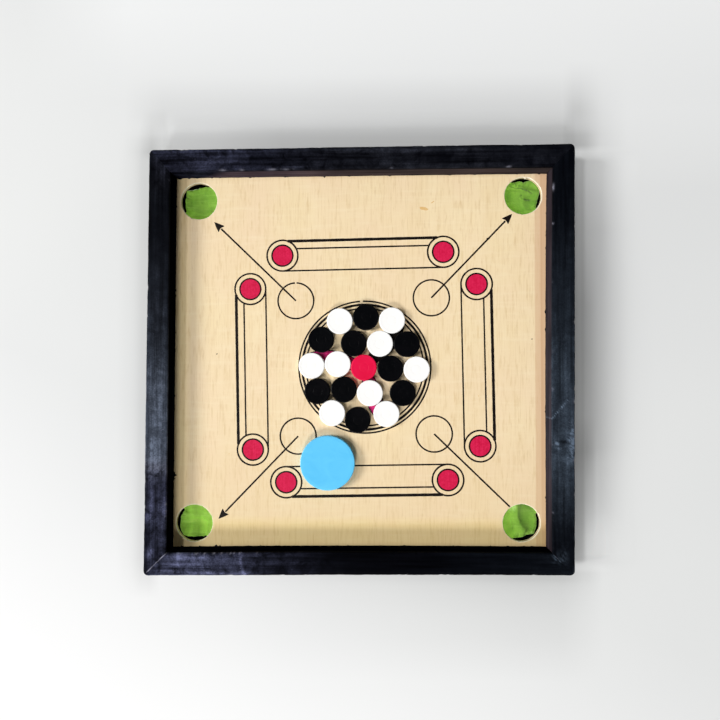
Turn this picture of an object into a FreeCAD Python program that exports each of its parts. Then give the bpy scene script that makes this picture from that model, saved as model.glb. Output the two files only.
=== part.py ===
import FreeCAD, Part
import Sketcher
import math
import os

# A small tabletop carrom board with its full set of men and its striker.
# Frame of the part: millimetres, origin at the centre of the board's underside,
# +Z up, +X to the right and +Y away from the player who owns the front rail.

Vector = FreeCAD.Vector
doc = FreeCAD.newDocument("carrom_board")

# ---------------------------------------------------------------- dimensions
# alias, value, meaning
DIMENSIONS = [
    # board and frame
    ("board_side", 305.0, "outer side of the square frame"),
    ("frame_height", 25.0, "height of the rails"),
    ("rail_width", 16.0, "width of a rail seen from above"),
    ("corner_round", 3.5, "plan radius of the worn outer corners"),
    ("outer_edge_round", 1.0, "rounding along the outer top edge"),
    ("inner_edge_round", 0.6, "rounding along the inner top edge"),
    ("mitre_gap", 0.02, "half of the glue line in a mitre"),
    ("rebate_width", 6.0, "how far the rebate runs in under the rail's lip"),
    # playing sheet
    ("play_height", 12.0, "height of the playing surface"),
    ("ply_thick", 3.0, "thickness of the plywood sheet"),
    ("ply_clear", 0.1, "gap between an edge of the sheet and its rebate"),
    ("hole_radius", 13.6, "radius of the four pocket holes"),
    # fits and cuts
    ("fit_clear", 0.02, "clearance round fasteners and above and below the sheet"),
    ("contact_gap", 0.01, "gap between a face and what rests against it"),
    ("head_overlap", 0.01, "how far a pin's shank starts inside its head"),
    ("bore_spare", 0.3, "depth of a blind bore beyond its fastener's tip"),
    ("cut_over", 1.0, "overshoot of a cut past an open face"),
    # corner nails
    ("nail_radius", 0.8, "shank radius of a corner nail"),
    ("nail_length", 30.0, "length of a corner nail"),
    ("nail_head_radius", 1.6, "head radius of a corner nail"),
    ("nail_head_thick", 0.8, "head thickness of a corner nail"),
    ("nail_low", 6.0, "height of the lower nail"),
    ("nail_high", 18.0, "height of the upper nail"),
    # sheet pins
    ("pin_radius", 0.6, "shank radius of a panel pin"),
    ("pin_length", 12.0, "shank length of a panel pin"),
    ("pin_head_radius", 1.3, "head radius of a panel pin"),
    ("pin_head_thick", 0.6, "head thickness of a panel pin"),
    ("pin_reach", 90.0, "outer pins of a row, from its middle"),
    # pouches and their staples
    ("flange_radius", 20.0, "outer radius of a pouch's stapled flange"),
    ("cloth_thick", 0.8, "thickness of the pouch cloth with its hem"),
    ("mouth_radius", 17.3, "outer radius of the pouch under its flange"),
    ("floor_radius", 15.2, "outer radius of the pouch at its floor"),
    ("pouch_low", 0.8, "height of the pouch's lowest point"),
    ("pouch_turn", 1.4, "slope at the turn between wall and floor"),
    ("staple_crown", 8.0, "length of a staple's crown"),
    ("staple_wire", 0.6, "side of the staple wire"),
    ("staple_leg", 2.8, "length of a staple's legs above its crown"),
    # men and striker
    ("man_radius", 9.5, "radius of a man"),
    ("man_thick", 4.2, "thickness of a man over its rims"),
    ("man_rim", 1.9, "width of the raised rim"),
    ("man_dish", 0.35, "depth of the dished face inside the rim"),
    ("man_round", 0.55, "rounding of a man's edges"),
    ("striker_radius", 19.9, "radius of the striker"),
    ("striker_thick", 5.2, "thickness of the striker"),
    ("striker_round", 0.7, "rounding of the striker's edges"),
]

# Centres (x, y) of the pouches, which are also those of the pocket holes
NET_PLACES = {
    "pocket_net_back_left": (-119.2, 118.0),
    "pocket_net_back_right": (121.0, 120.2),
    "pocket_net_front_left": (-121.6, -121.2),
    "pocket_net_front_right": (118.8, -119.5),
}

# Centres (x, y) of the men
WHITE_PLACES = [
    (-13.78, 27.77), (24.42, 28.31), (15.64, 11.26), (-34.42, -4.84), (-15.28, -3.61),
    (42.40, -7.55), (8.26, -24.87), (-19.30, -39.41), (20.32, -39.93),
]
BLACK_PLACES = [
    (5.37, 30.63), (-27.45, 14.30), (-3.54, 11.56), (35.30, 10.96), (23.22, -6.97),
    (-30.09, -23.53), (-10.74, -22.24), (32.20, -24.77), (-0.66, -44.35),
]
MAN_PLACES = {"white_man_%d" % number: xy for number, xy in enumerate(WHITE_PLACES, start=1)}
MAN_PLACES.update({"black_man_%d" % number: xy for number, xy in enumerate(BLACK_PLACES, start=1)})
MAN_PLACES["queen"] = (3.83, -6.17)

STRIKER_PLACE = {"striker": (-22.6, -75.7)}

for places in (NET_PLACES, MAN_PLACES, STRIKER_PLACE):
    for piece, (x, y) in places.items():
        DIMENSIONS.append((piece + "_x", x, "centre of %s, x" % piece))
        DIMENSIONS.append((piece + "_y", y, "centre of %s, y" % piece))

sheet = doc.addObject("Spreadsheet::Sheet", "Dims")
values = {}
for row, (alias, value, meaning) in enumerate(DIMENSIONS, start=1):
    sheet.set("A%d" % row, meaning)
    sheet.set("B%d" % row, repr(value))
    sheet.setAlias("B%d" % row, alias)
    values[alias] = value
doc.recompute()


class Length:
    """A length that carries its number and the sheet expression behind it."""

    def __init__(self, value, text):
        self.value = float(value)
        self.text = text

    @staticmethod
    def of(other):
        return other if isinstance(other, Length) else Length(other, repr(float(other)))

    def __add__(self, other):
        other = Length.of(other)
        return Length(self.value + other.value, "(%s + %s)" % (self.text, other.text))

    def __sub__(self, other):
        other = Length.of(other)
        return Length(self.value - other.value, "(%s - %s)" % (self.text, other.text))

    def __mul__(self, other):
        other = Length.of(other)
        return Length(self.value * other.value, "(%s * %s)" % (self.text, other.text))

    def __truediv__(self, other):
        other = Length.of(other)
        return Length(self.value / other.value, "(%s / %s)" % (self.text, other.text))

    def __neg__(self):
        return Length(-self.value, "(0 - %s)" % self.text)


def dim(alias):
    return Length(values[alias], "Dims." + alias)


def centre_of(piece):
    return dim(piece + "_x"), dim(piece + "_y")


# Lengths that several pieces share
ZERO = Length.of(0)
half = dim("board_side") / 2
inner = half - dim("rail_width")
rebate_edge = inner + dim("rebate_width")
nail_line = half - dim("rail_width") / 2          # middle of the rail
pin_line = inner + dim("rebate_width") / 2        # middle of the lip
nail_levels = [dim("nail_low"), dim("nail_high")]
pin_steps = [-dim("pin_reach"), ZERO, dim("pin_reach")]
sheet_underside = dim("play_height") - dim("ply_thick")
nail_bore = dim("nail_radius") + dim("fit_clear")
pin_bore = dim("pin_radius") + dim("fit_clear")
cloth = dim("cloth_thick")
flange_top = sheet_underside - dim("fit_clear")

parts = []


# ---------------------------------------------------------------- helpers
def bind(obj, **lengths):
    """Set properties of an object and tie them to the sheet."""
    for name, length in lengths.items():
        setattr(obj, name, length.value)
        obj.setExpression(name, length.text)


def place(obj, x, y, z, rotation=FreeCAD.Rotation()):
    obj.Placement = FreeCAD.Placement(Vector(x.value, y.value, z.value), rotation)
    for axis, length in (("x", x), ("y", y), ("z", z)):
        obj.setExpression("Placement.Base." + axis, length.text)


def new_body(name):
    body = doc.addObject("PartDesign::Body", name)
    body.Label = name
    parts.append(body)
    return body


def new_sketch(body, name, role, offset=None):
    """A sketch on an origin plane, moved along the plane's normal by the offset."""
    sketch = body.newObject("Sketcher::SketchObject", name)
    plane = next(item for item in body.Origin.OriginFeatures if item.Role == role)
    sketch.AttachmentSupport = [(plane, "")]
    sketch.MapMode = "FlatFace"
    if offset is not None:
        sketch.AttachmentOffset = FreeCAD.Placement(
            Vector(0, 0, offset.value), FreeCAD.Rotation())
        sketch.setExpression("AttachmentOffset.Base.z", offset.text)
    return sketch


def constrain(sketch, kind, *references, length):
    """Add a dimension that follows the sheet."""
    index = sketch.addConstraint(Sketcher.Constraint(kind, *references, length.value))
    sketch.setExpression("Constraints[%d]" % index, length.text)


def hold_point(sketch, geometry, point, x, y):
    """Hold one sketch point at (x, y); a zero puts it on the sketch's axis."""
    for kind, axis, length in (("DistanceX", -2, x), ("DistanceY", -1, y)):
        if abs(length.value) < 1e-9:
            sketch.addConstraint(Sketcher.Constraint("PointOnObject", geometry, point, axis))
        else:
            constrain(sketch, kind, -1, 1, geometry, point, length=length)


def join_ends(sketch, count):
    """Close the sketch's first geometries, end to start, into a loop."""
    for index in range(count):
        sketch.addConstraint(
            Sketcher.Constraint("Coincident", index, 2, (index + 1) % count, 1))


def add_line(sketch, start_x, start_y, end_x, end_y):
    sketch.addGeometry(
        Part.LineSegment(Vector(start_x, start_y, 0), Vector(end_x, end_y, 0)), False)


def polygon(sketch, points):
    """A closed outline, drawn first in its sketch."""
    corners = [(Length.of(x), Length.of(y)) for x, y in points]
    for (x, y), (next_x, next_y) in zip(corners, corners[1:] + corners[:1]):
        add_line(sketch, x.value, y.value, next_x.value, next_y.value)
    join_ends(sketch, len(corners))
    for index, (x, y) in enumerate(corners):
        hold_point(sketch, index, 1, x, y)


def circle(sketch, x, y, radius):
    geometry = sketch.addGeometry(
        Part.Circle(Vector(x.value, y.value, 0), Vector(0, 0, 1), radius.value), False)
    constrain(sketch, "Radius", geometry, length=radius)
    hold_point(sketch, geometry, 3, x, y)


def pad(body, sketch, name, length):
    feature = body.newObject("PartDesign::Pad", name)
    feature.Profile = sketch
    bind(feature, Length=length)
    doc.recompute()
    return feature


def cut(body, sketch, name, depth=None, along_normal=False):
    """Pocket to a depth, or right through on both sides of the sketch if none is given."""
    before = body.Shape.Volume
    feature = body.newObject("PartDesign::Pocket", name)
    feature.Profile = sketch
    feature.Reversed = along_normal
    if depth is not None:
        bind(feature, Length=depth)
    else:
        feature.Type = 1                # through all
        # The symmetric option goes by either name, depending on the FreeCAD version
        if hasattr(feature, "SideType"):
            feature.SideType = 2
        else:
            feature.Midplane = True
    doc.recompute()
    if not body.Shape.Volume < before - 1e-6:
        raise RuntimeError("%s cuts nothing" % name)


def revolve(body, sketch, name):
    feature = body.newObject("PartDesign::Revolution", name)
    feature.Profile = sketch
    feature.ReferenceAxis = (sketch, ["V_Axis"])
    feature.Angle = 360.0
    doc.recompute()
    return feature


def fillet(body, base, name, wanted, radius):
    """Round the edges of the base feature that the test picks out."""
    names = ["Edge%d" % number
             for number, edge in enumerate(base.Shape.Edges, start=1) if wanted(edge)]
    if not names:
        raise RuntimeError("%s found no edge" % name)
    feature = body.newObject("PartDesign::Fillet", name)
    feature.Base = (base, names)
    bind(feature, Radius=radius)
    doc.recompute()
    return feature


def cylinder(name, radius, height, x, y, z, rotation=FreeCAD.Rotation()):
    obj = doc.addObject("Part::Cylinder", name)
    bind(obj, Radius=radius, Height=height)
    place(obj, x, y, z, rotation)
    return obj


def fuse(name, shapes):
    obj = doc.addObject("Part::MultiFuse", name)
    obj.Shapes = shapes
    return obj


def group(name, members):
    obj = doc.addObject("Part::Compound", name)
    obj.Label = name
    obj.Links = members
    parts.append(obj)


# ---------------------------------------------------------------- frame rails
# Four mitred rails. Each is drawn as the front rail, lying along X, and turned
# about the board's centre. A rebate under the inner lip takes the sheet.
arc_centre = half - dim("corner_round")
mitre_tip = arc_centre + dim("corner_round") * math.sqrt(0.5)     # middle of the corner's arc


def corner_arc(sketch, centre_x, start_degrees, end_degrees):
    full = Part.Circle(Vector(centre_x, -arc_centre.value, 0), Vector(0, 0, 1),
                       values["corner_round"])
    sketch.addGeometry(
        Part.ArcOfCircle(full, math.radians(start_degrees), math.radians(end_degrees)), False)


def rail_bar(body, name):
    """The plain mitred bar, its outline drawn anticlockwise from the outer edge."""
    sketch = new_sketch(body, name + "_plan", "XY_Plane")
    tip_x = mitre_tip - dim("mitre_gap")
    inner_x = inner - dim("mitre_gap")
    centre, tip_y = arc_centre.value, -mitre_tip.value
    outer_y, inner_y = -half.value, -inner.value
    add_line(sketch, -centre, outer_y, centre, outer_y)                 # 0 outer edge
    corner_arc(sketch, centre, 270, 315)                                # 1 right corner
    add_line(sketch, tip_x.value, tip_y, inner_x.value, inner_y)        # 2 right mitre
    add_line(sketch, inner_x.value, inner_y, -inner_x.value, inner_y)   # 3 inner edge
    add_line(sketch, -inner_x.value, inner_y, -tip_x.value, tip_y)      # 4 left mitre
    corner_arc(sketch, -centre, 225, 270)                               # 5 left corner
    join_ends(sketch, 6)
    hold_point(sketch, 1, 3, arc_centre, -arc_centre)
    hold_point(sketch, 5, 3, -arc_centre, -arc_centre)
    hold_point(sketch, 0, 1, -arc_centre, -half)
    hold_point(sketch, 0, 2, arc_centre, -half)
    hold_point(sketch, 2, 2, inner_x, -inner)
    hold_point(sketch, 3, 2, -inner_x, -inner)
    constrain(sketch, "DistanceX", -1, 1, 2, 1, length=tip_x)
    constrain(sketch, "DistanceX", -1, 1, 4, 2, length=-tip_x)
    return pad(body, sketch, name + "_bar", dim("frame_height"))


def on_top(edge):
    return edge.BoundBox.ZMin > values["frame_height"] - 1e-4


def is_outer_top(edge):
    """The outer top edge and its two corner arcs, but not the mitres."""
    box = edge.BoundBox
    outer = -mitre_tip.value
    return on_top(edge) and box.YMax < outer + 1e-3 and box.YMin < outer - 0.05


def is_inner_top(edge):
    box = edge.BoundBox
    face = -inner.value
    return on_top(edge) and abs(box.YMin - face) < 1e-3 and abs(box.YMax - face) < 1e-3


def cut_rebate(body, name):
    sketch = new_sketch(body, name + "_rebate_plan", "XY_Plane")
    open_y = -(inner - dim("cut_over"))
    polygon(sketch, [(-half, -rebate_edge), (half, -rebate_edge), (half, open_y), (-half, open_y)])
    depth = dim("play_height") + dim("fit_clear")
    cut(body, sketch, name + "_rebate", depth, along_normal=True)


def bore_for_pins(body, name):
    """Holes for the sheet's pins, bored up into the lip."""
    sketch = new_sketch(body, name + "_pin_plan", "XY_Plane")
    for x in pin_steps:
        circle(sketch, x, -pin_line, pin_bore)
    depth = sheet_underside + dim("pin_length") + dim("bore_spare")
    cut(body, sketch, name + "_pin_holes", depth, along_normal=True)


def nail_circles(sketch, across, radius):
    for x in across:
        for level in nail_levels:
            circle(sketch, x, level, radius)


def bore_side_rail(body, name):
    """Nail holes right through from the outer face, with seats for flush heads."""
    both_ends = (nail_line, -nail_line)
    sketch = new_sketch(body, name + "_nail_plan", "XZ_Plane")
    nail_circles(sketch, both_ends, nail_bore)
    cut(body, sketch, name + "_nail_holes")
    sketch = new_sketch(body, name + "_head_plan", "XZ_Plane", half)
    nail_circles(sketch, both_ends, dim("nail_head_radius") + dim("fit_clear"))
    cut(body, sketch, name + "_head_seats", dim("nail_head_thick") + dim("fit_clear"))


def bore_end_rail(body, name):
    """Blind nail holes, each cut outwards from its bottom through the mitred end."""
    bottom = half - dim("nail_length") - dim("bore_spare")
    for side, x, along_normal in (("r", bottom, True), ("l", -bottom, False)):
        sketch = new_sketch(body, name + "_nail_plan_" + side, "YZ_Plane", x)
        nail_circles(sketch, (-nail_line,), nail_bore)
        depth = dim("nail_length") + dim("cut_over")
        cut(body, sketch, name + "_nails_" + side, depth, along_normal)


def rail(name, degrees, bore_for_nails):
    body = new_body(name)
    bar = rail_bar(body, name)
    worn = fillet(body, bar, name + "_outer_round", is_outer_top, dim("outer_edge_round"))
    fillet(body, worn, name + "_inner_round", is_inner_top, dim("inner_edge_round"))
    cut_rebate(body, name)
    bore_for_pins(body, name)
    bore_for_nails(body, name)
    body.Placement = FreeCAD.Placement(Vector(), FreeCAD.Rotation(Vector(0, 0, 1), degrees))


# ---------------------------------------------------------------- playing sheet
# Pins along the four sides: front, right, back and left for each step
pin_spots = []
for step in pin_steps:
    pin_spots += [(step, -pin_line), (pin_line, step), (step, pin_line), (-pin_line, step)]


def play_board():
    body = new_body("play_board")
    sketch = new_sketch(body, "play_board_plan", "XY_Plane", sheet_underside)
    edge = rebate_edge - dim("ply_clear")
    polygon(sketch, [(-edge, -edge), (edge, -edge), (edge, edge), (-edge, edge)])
    for net in NET_PLACES:
        circle(sketch, *centre_of(net), dim("hole_radius"))
    for x, y in pin_spots:
        circle(sketch, x, y, pin_bore)
    pad(body, sketch, "play_board_ply", dim("ply_thick"))


# ---------------------------------------------------------------- fasteners
def corner_nails():
    """Two nails at each corner, driven in along X through the side rails."""
    nails = []
    for side, sign_x in (("r", 1), ("l", -1)):
        inward = FreeCAD.Rotation(Vector(0, 0, 1), Vector(-sign_x, 0, 0))
        for end, sign_y in (("b", 1), ("f", -1)):
            for level in ("low", "high"):
                tag = side + end + level
                spot = (half * sign_x, nail_line * sign_y, dim("nail_" + level), inward)
                head = cylinder("nail_head_" + tag, dim("nail_head_radius"),
                                dim("nail_head_thick"), *spot)
                shank = cylinder("nail_shank_" + tag, dim("nail_radius"),
                                 dim("nail_length"), *spot)
                nails.append(fuse("nail_" + tag, [head, shank]))
    group("corner_nails", nails)


def board_pins():
    """Three panel pins along each side, pushed up through the sheet into the lip."""
    head_top = sheet_underside - dim("contact_gap")
    pins = []
    for index, (x, y) in enumerate(pin_spots):
        head = cylinder("pin_head_%d" % index, dim("pin_head_radius"), dim("pin_head_thick"),
                        x, y, head_top - dim("pin_head_thick"))
        shank = cylinder("pin_shank_%d" % index, dim("pin_radius"), dim("pin_length"),
                         x, y, head_top - dim("head_overlap"))
        pins.append(fuse("pin_%d" % index, [head, shank]))
    group("board_pins", pins)


# ---------------------------------------------------------------- pouches
def pocket_net(name):
    """An open cup of cloth under a hole, with a flat flange stapled to the sheet."""
    body = new_body(name)
    sketch = new_sketch(body, name + "_section", "XZ_Plane")
    low, turn = dim("pouch_low"), dim("pouch_turn")
    floor, mouth, flange = dim("floor_radius"), dim("mouth_radius"), dim("flange_radius")
    # (radius, height), out along the underside and back along the inside
    polygon(sketch, [
        (0, low),
        (floor - turn, low),
        (floor, low + turn),
        (mouth, flange_top - cloth),
        (flange, flange_top - cloth),
        (flange, flange_top),
        (mouth - cloth, flange_top),
        (floor - cloth, low + turn + cloth / 2),
        (floor - turn - cloth / 2, low + cloth),
        (0, low + cloth),
    ])
    revolve(body, sketch, name + "_cup")
    place(body, *centre_of(name), ZERO)


def staple(name, centre, degrees):
    """Crown below the flange, legs up into the sheet, at a bearing from the pouch's centre."""
    wire, crown = dim("staple_wire"), dim("staple_crown")
    ring = (dim("mouth_radius") + dim("flange_radius")) / 2
    outer_side = ring + wire / 2
    low = flange_top - cloth - wire - dim("contact_gap")
    leg_height = wire + dim("staple_leg")
    out_x, out_y = math.cos(math.radians(degrees)), math.sin(math.radians(degrees))
    # local x runs along the crown, square to the bearing; local y points inwards
    rotation = FreeCAD.Rotation(Vector(0, 0, 1), degrees + 90)
    bars = []
    # piece, start along the crown, length, height
    for piece, start, length, height in (
            ("crown", -crown / 2, crown, wire),
            ("leg1", -crown / 2, wire, leg_height),
            ("leg2", crown / 2 - wire, wire, leg_height)):
        box = doc.addObject("Part::Box", "%s_%s" % (name, piece))
        bind(box, Length=length, Width=wire, Height=height)
        x = centre[0] + outer_side * out_x - start * out_y
        y = centre[1] + outer_side * out_y + start * out_x
        place(box, x, y, low, rotation)
        bars.append(box)
    return fuse(name, bars)


def pocket_staples():
    """Four staples on the diagonals of each flange."""
    group("pocket_staples", [
        staple("staple_%s%d" % (letter, index), centre_of(net), 45 + 90 * index)
        for letter, net in zip("abcd", NET_PLACES) for index in range(4)])


# ---------------------------------------------------------------- men and striker
def disc(name, outline, radius, rounding):
    """A turned disc with rounded outer edges, lying on the playing surface."""
    def is_outer_rim(edge):
        return isinstance(edge.Curve, Part.Circle) and abs(edge.Curve.Radius - radius.value) < 1e-4

    body = new_body(name)
    sketch = new_sketch(body, name + "_section", "XZ_Plane")
    polygon(sketch, outline)
    turned = revolve(body, sketch, name + "_turned")
    fillet(body, turned, name + "_edges", is_outer_rim, rounding)
    place(body, *centre_of(name), dim("play_height") + dim("contact_gap"))


def man(name):
    """A disc with a raised rim and a shallow dish on both faces."""
    radius, thick, dish = dim("man_radius"), dim("man_thick"), dim("man_dish")
    rim = radius - dim("man_rim")
    outline = [
        (0, dish), (rim - dish, dish), (rim, 0), (radius, 0),
        (radius, thick), (rim, thick), (rim - dish, thick - dish), (0, thick - dish),
    ]
    disc(name, outline, radius, dim("man_round"))


def striker():
    radius, thick = dim("striker_radius"), dim("striker_thick")
    outline = [(0, 0), (radius, 0), (radius, thick), (0, thick)]
    disc("striker", outline, radius, dim("striker_round"))


# ---------------------------------------------------------------- build
rail("frame_rail_front", 0, bore_end_rail)
rail("frame_rail_right", 90, bore_side_rail)
rail("frame_rail_back", 180, bore_end_rail)
rail("frame_rail_left", 270, bore_side_rail)
play_board()
corner_nails()
board_pins()
for net in NET_PLACES:
    pocket_net(net)
pocket_staples()
for piece in MAN_PLACES:
    man(piece)
striker()
doc.recompute()

# ---------------------------------------------------------------- export
for obj in doc.Objects:
    if "Invalid" in obj.State or "Error" in obj.State:
        raise RuntimeError("%s is %s" % (obj.Name, obj.State))

os.makedirs("parts", exist_ok=True)
for part in parts:
    shape = part.Shape
    if shape.isNull() or not shape.isValid() or not shape.Solids:
        raise RuntimeError("%s has no valid shape" % part.Label)
    shape.exportStep(os.path.join("parts", part.Label + ".step"))
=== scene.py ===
"""A carrom board with its men, queen and striker.

The board lies flat on z = 0, centred on the origin: x runs left to right, y front to back.
Lengths are in millimetres and become metres where a mesh, light or camera is made.
"""
import math
from functools import reduce

import bpy
import bmesh
import numpy as np
from mathutils import Matrix, Vector, noise


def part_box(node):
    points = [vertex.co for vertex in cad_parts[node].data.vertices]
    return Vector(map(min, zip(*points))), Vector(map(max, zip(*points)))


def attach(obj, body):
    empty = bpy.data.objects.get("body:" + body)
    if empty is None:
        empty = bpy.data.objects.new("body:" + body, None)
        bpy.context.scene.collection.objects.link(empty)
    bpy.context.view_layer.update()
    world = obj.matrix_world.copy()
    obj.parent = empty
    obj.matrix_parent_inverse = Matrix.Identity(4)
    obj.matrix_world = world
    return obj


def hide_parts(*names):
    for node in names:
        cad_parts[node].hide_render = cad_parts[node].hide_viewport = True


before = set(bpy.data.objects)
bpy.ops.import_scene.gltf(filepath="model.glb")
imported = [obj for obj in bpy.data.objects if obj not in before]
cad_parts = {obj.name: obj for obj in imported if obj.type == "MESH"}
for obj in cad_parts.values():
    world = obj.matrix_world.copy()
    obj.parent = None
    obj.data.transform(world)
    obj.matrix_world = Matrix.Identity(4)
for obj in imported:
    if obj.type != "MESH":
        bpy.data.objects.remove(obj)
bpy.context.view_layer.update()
MM = 0.001
SCENE = bpy.context.scene
ROOT = "board"


# ------------------------------------------------------------------ sizes, read from the frame
def centre_mm(node):
    """A node's middle in x and y, and its lowest z."""
    lo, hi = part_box(node)
    return (lo.x + hi.x) / 2 / MM, (lo.y + hi.y) / 2 / MM, lo.z / MM


box_lo, box_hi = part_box("play_board")
SHEET_HALF = box_hi.x / MM
SHEET_LOW, SHEET_TOP = box_lo.z / MM, box_hi.z / MM
box_lo, box_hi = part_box("frame_rail_front")
FRAME_HALF = -box_lo.y / MM
RAIL_W = (box_hi.y - box_lo.y) / MM
FRAME_TOP = box_hi.z / MM
INNER = FRAME_HALF - RAIL_W         # from the middle to a rail's inner wall
CORNER_R = 3.5
INK_HEIGHT = 0.03                   # ink stands this far above the ply's visible face
SURFACE = SHEET_TOP - INK_HEIGHT
INK_LOW = SURFACE - 0.05
POCKETS = {tag: centre_mm("pocket_net_" + tag)[:2]
           for tag in ("back_left", "back_right", "front_left", "front_right")}
HOLE_R = 13.6

LAMPS = (   # name; azimuth, elevation, angular radius in degrees; share of light, share in the painted light on the pouches
    ("key", 181, 33, 9, .40, .40),
    ("high", 179, 56.5, 3, .16, .17),
    ("second", 258, 40, 8, .335, .33),
)


# ------------------------------------------------------------------ shapes and unevenness
def wobble(x, y=0, z=0, scale=1, seed=0):
    return noise.noise(Vector((x * scale + seed * 17.3, y * scale - seed * 5.1,
                               z * scale + seed * 3.7)))


def round_wobble(angle, lobes, z, seed):
    """Noise that closes on itself round a circle."""
    return wobble(math.cos(angle) * lobes, math.sin(angle) * lobes, z, 1, seed)


NOISE_TABLE = np.random.RandomState(99).uniform(-1, 1, (256, 256))


def ripple(x, y=0, scale=1, seed=0):
    """Smooth value noise for whole arrays, in -1..1."""
    x = np.asarray(x, float) * scale + seed * 13.7
    y = np.asarray(y, float) * scale + seed * 7.3
    col, row = np.floor(x).astype(int), np.floor(y).astype(int)
    u, v = x - col, y - row
    u, v = u * u * (3 - 2 * u), v * v * (3 - 2 * v)

    def cell(i, j):
        return NOISE_TABLE[(col + i) & 255, (row + j) & 255]

    return ((cell(0, 0) * (1 - u) + cell(1, 0) * u) * (1 - v)
            + (cell(0, 1) * (1 - u) + cell(1, 1) * u) * v)


def smoothstep(start, stop, x):
    t = np.clip((np.asarray(x, float) - start) / (stop - start), 0, 1)
    return t * t * (3 - 2 * t)


def bell(x, centre, width):
    return np.exp(-((x - centre) / width) ** 2)


def wrap(angle, full=360.0):
    """An angle brought to within half a turn of zero."""
    return (angle + full / 2) % full - full / 2


def turned(x, y, angle):
    """A point turned about the origin, in radians."""
    cos, sin = math.cos(angle), math.sin(angle)
    return cos * x - sin * y, sin * x + cos * y


def round_angles(count):
    return np.linspace(0, 2 * math.pi, count, endpoint=False)


# ------------------------------------------------------------------ mesh helpers
def bridge(first, rows, width, closed=True):
    """Quads between neighbouring rows of vertices."""
    faces = []
    for i in range(rows - 1):
        for j in range(width if closed else width - 1):
            a, b = first + i * width + j, first + i * width + (j + 1) % width
            faces.append((a, b, b + width, a + width))
    return faces


def add_attributes(mesh, attributes):
    for name, values in attributes.items():
        layer = mesh.attributes.new(name, "FLOAT", "POINT")
        layer.data.foreach_set("value", np.asarray(values, np.float32))


def shade_smooth(mesh, smooth=True):
    mesh.polygons.foreach_set("use_smooth", np.full(len(mesh.polygons), smooth))


def piece(name, verts, faces, material, body=ROOT, replaces=None, smooth=True,
          attributes=None):
    """A mesh object from millimetre vertices, riding on a body."""
    mesh = bpy.data.meshes.new(name)
    mesh.from_pydata([tuple(float(c) * MM for c in v) for v in verts], [], faces)
    mesh.validate(clean_customdata=False)
    add_attributes(mesh, attributes or {})
    mesh.materials.append(material)
    shade_smooth(mesh, smooth)
    ob = bpy.data.objects.new(name, mesh)
    SCENE.collection.objects.link(ob)
    mesh.update()
    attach(ob, body)
    if replaces:
        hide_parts(replaces)
    return ob


def face_outward(ob, sharp_degrees=None):
    """Turn the faces outward; edges beyond the angle, if one is given, are marked sharp."""
    bm = bmesh.new()
    bm.from_mesh(ob.data)
    bmesh.ops.recalc_face_normals(bm, faces=bm.faces)
    if sharp_degrees is not None:
        limit = math.radians(sharp_degrees)
        for edge in bm.edges:
            if len(edge.link_faces) == 2 and edge.calc_face_angle(0.0) > limit:
                edge.smooth = False
    bm.to_mesh(ob.data)
    bm.free()
    ob.data.update()


def evaluated_mesh(ob):
    graph = bpy.context.evaluated_depsgraph_get()
    return bpy.data.meshes.new_from_object(ob.evaluated_get(graph))


def thicken(ob, thickness):
    """Give a cloth surface thickness, and smooth it once."""
    solid = ob.modifiers.new("thick", "SOLIDIFY")
    solid.thickness, solid.offset = thickness * MM, 0.0
    fine = ob.modifiers.new("fine", "SUBSURF")
    fine.levels = fine.render_levels = 1
    final = evaluated_mesh(ob)
    ob.modifiers.clear()
    ob.data = final


# ------------------------------------------------------------------ material helpers
def srgb(*channels):
    """A colour given in 0..255 steps, as linear light."""
    def linear(c):
        c /= 255.0
        return c / 12.92 if c <= 0.04045 else ((c + 0.055) / 1.055) ** 2.4
    return tuple(linear(c) for c in channels) + (1,)


def grey(level):
    return (level, level, level, 1)


def fill_ramp(node, stops):
    """Set a colour ramp's (position, colour) stops."""
    elements = node.color_ramp.elements
    while len(elements) > 1:
        elements.remove(elements[-1])
    elements[0].position, elements[0].color = stops[0]
    for position, colour in stops[1:]:
        elements.new(position).color = colour


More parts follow.
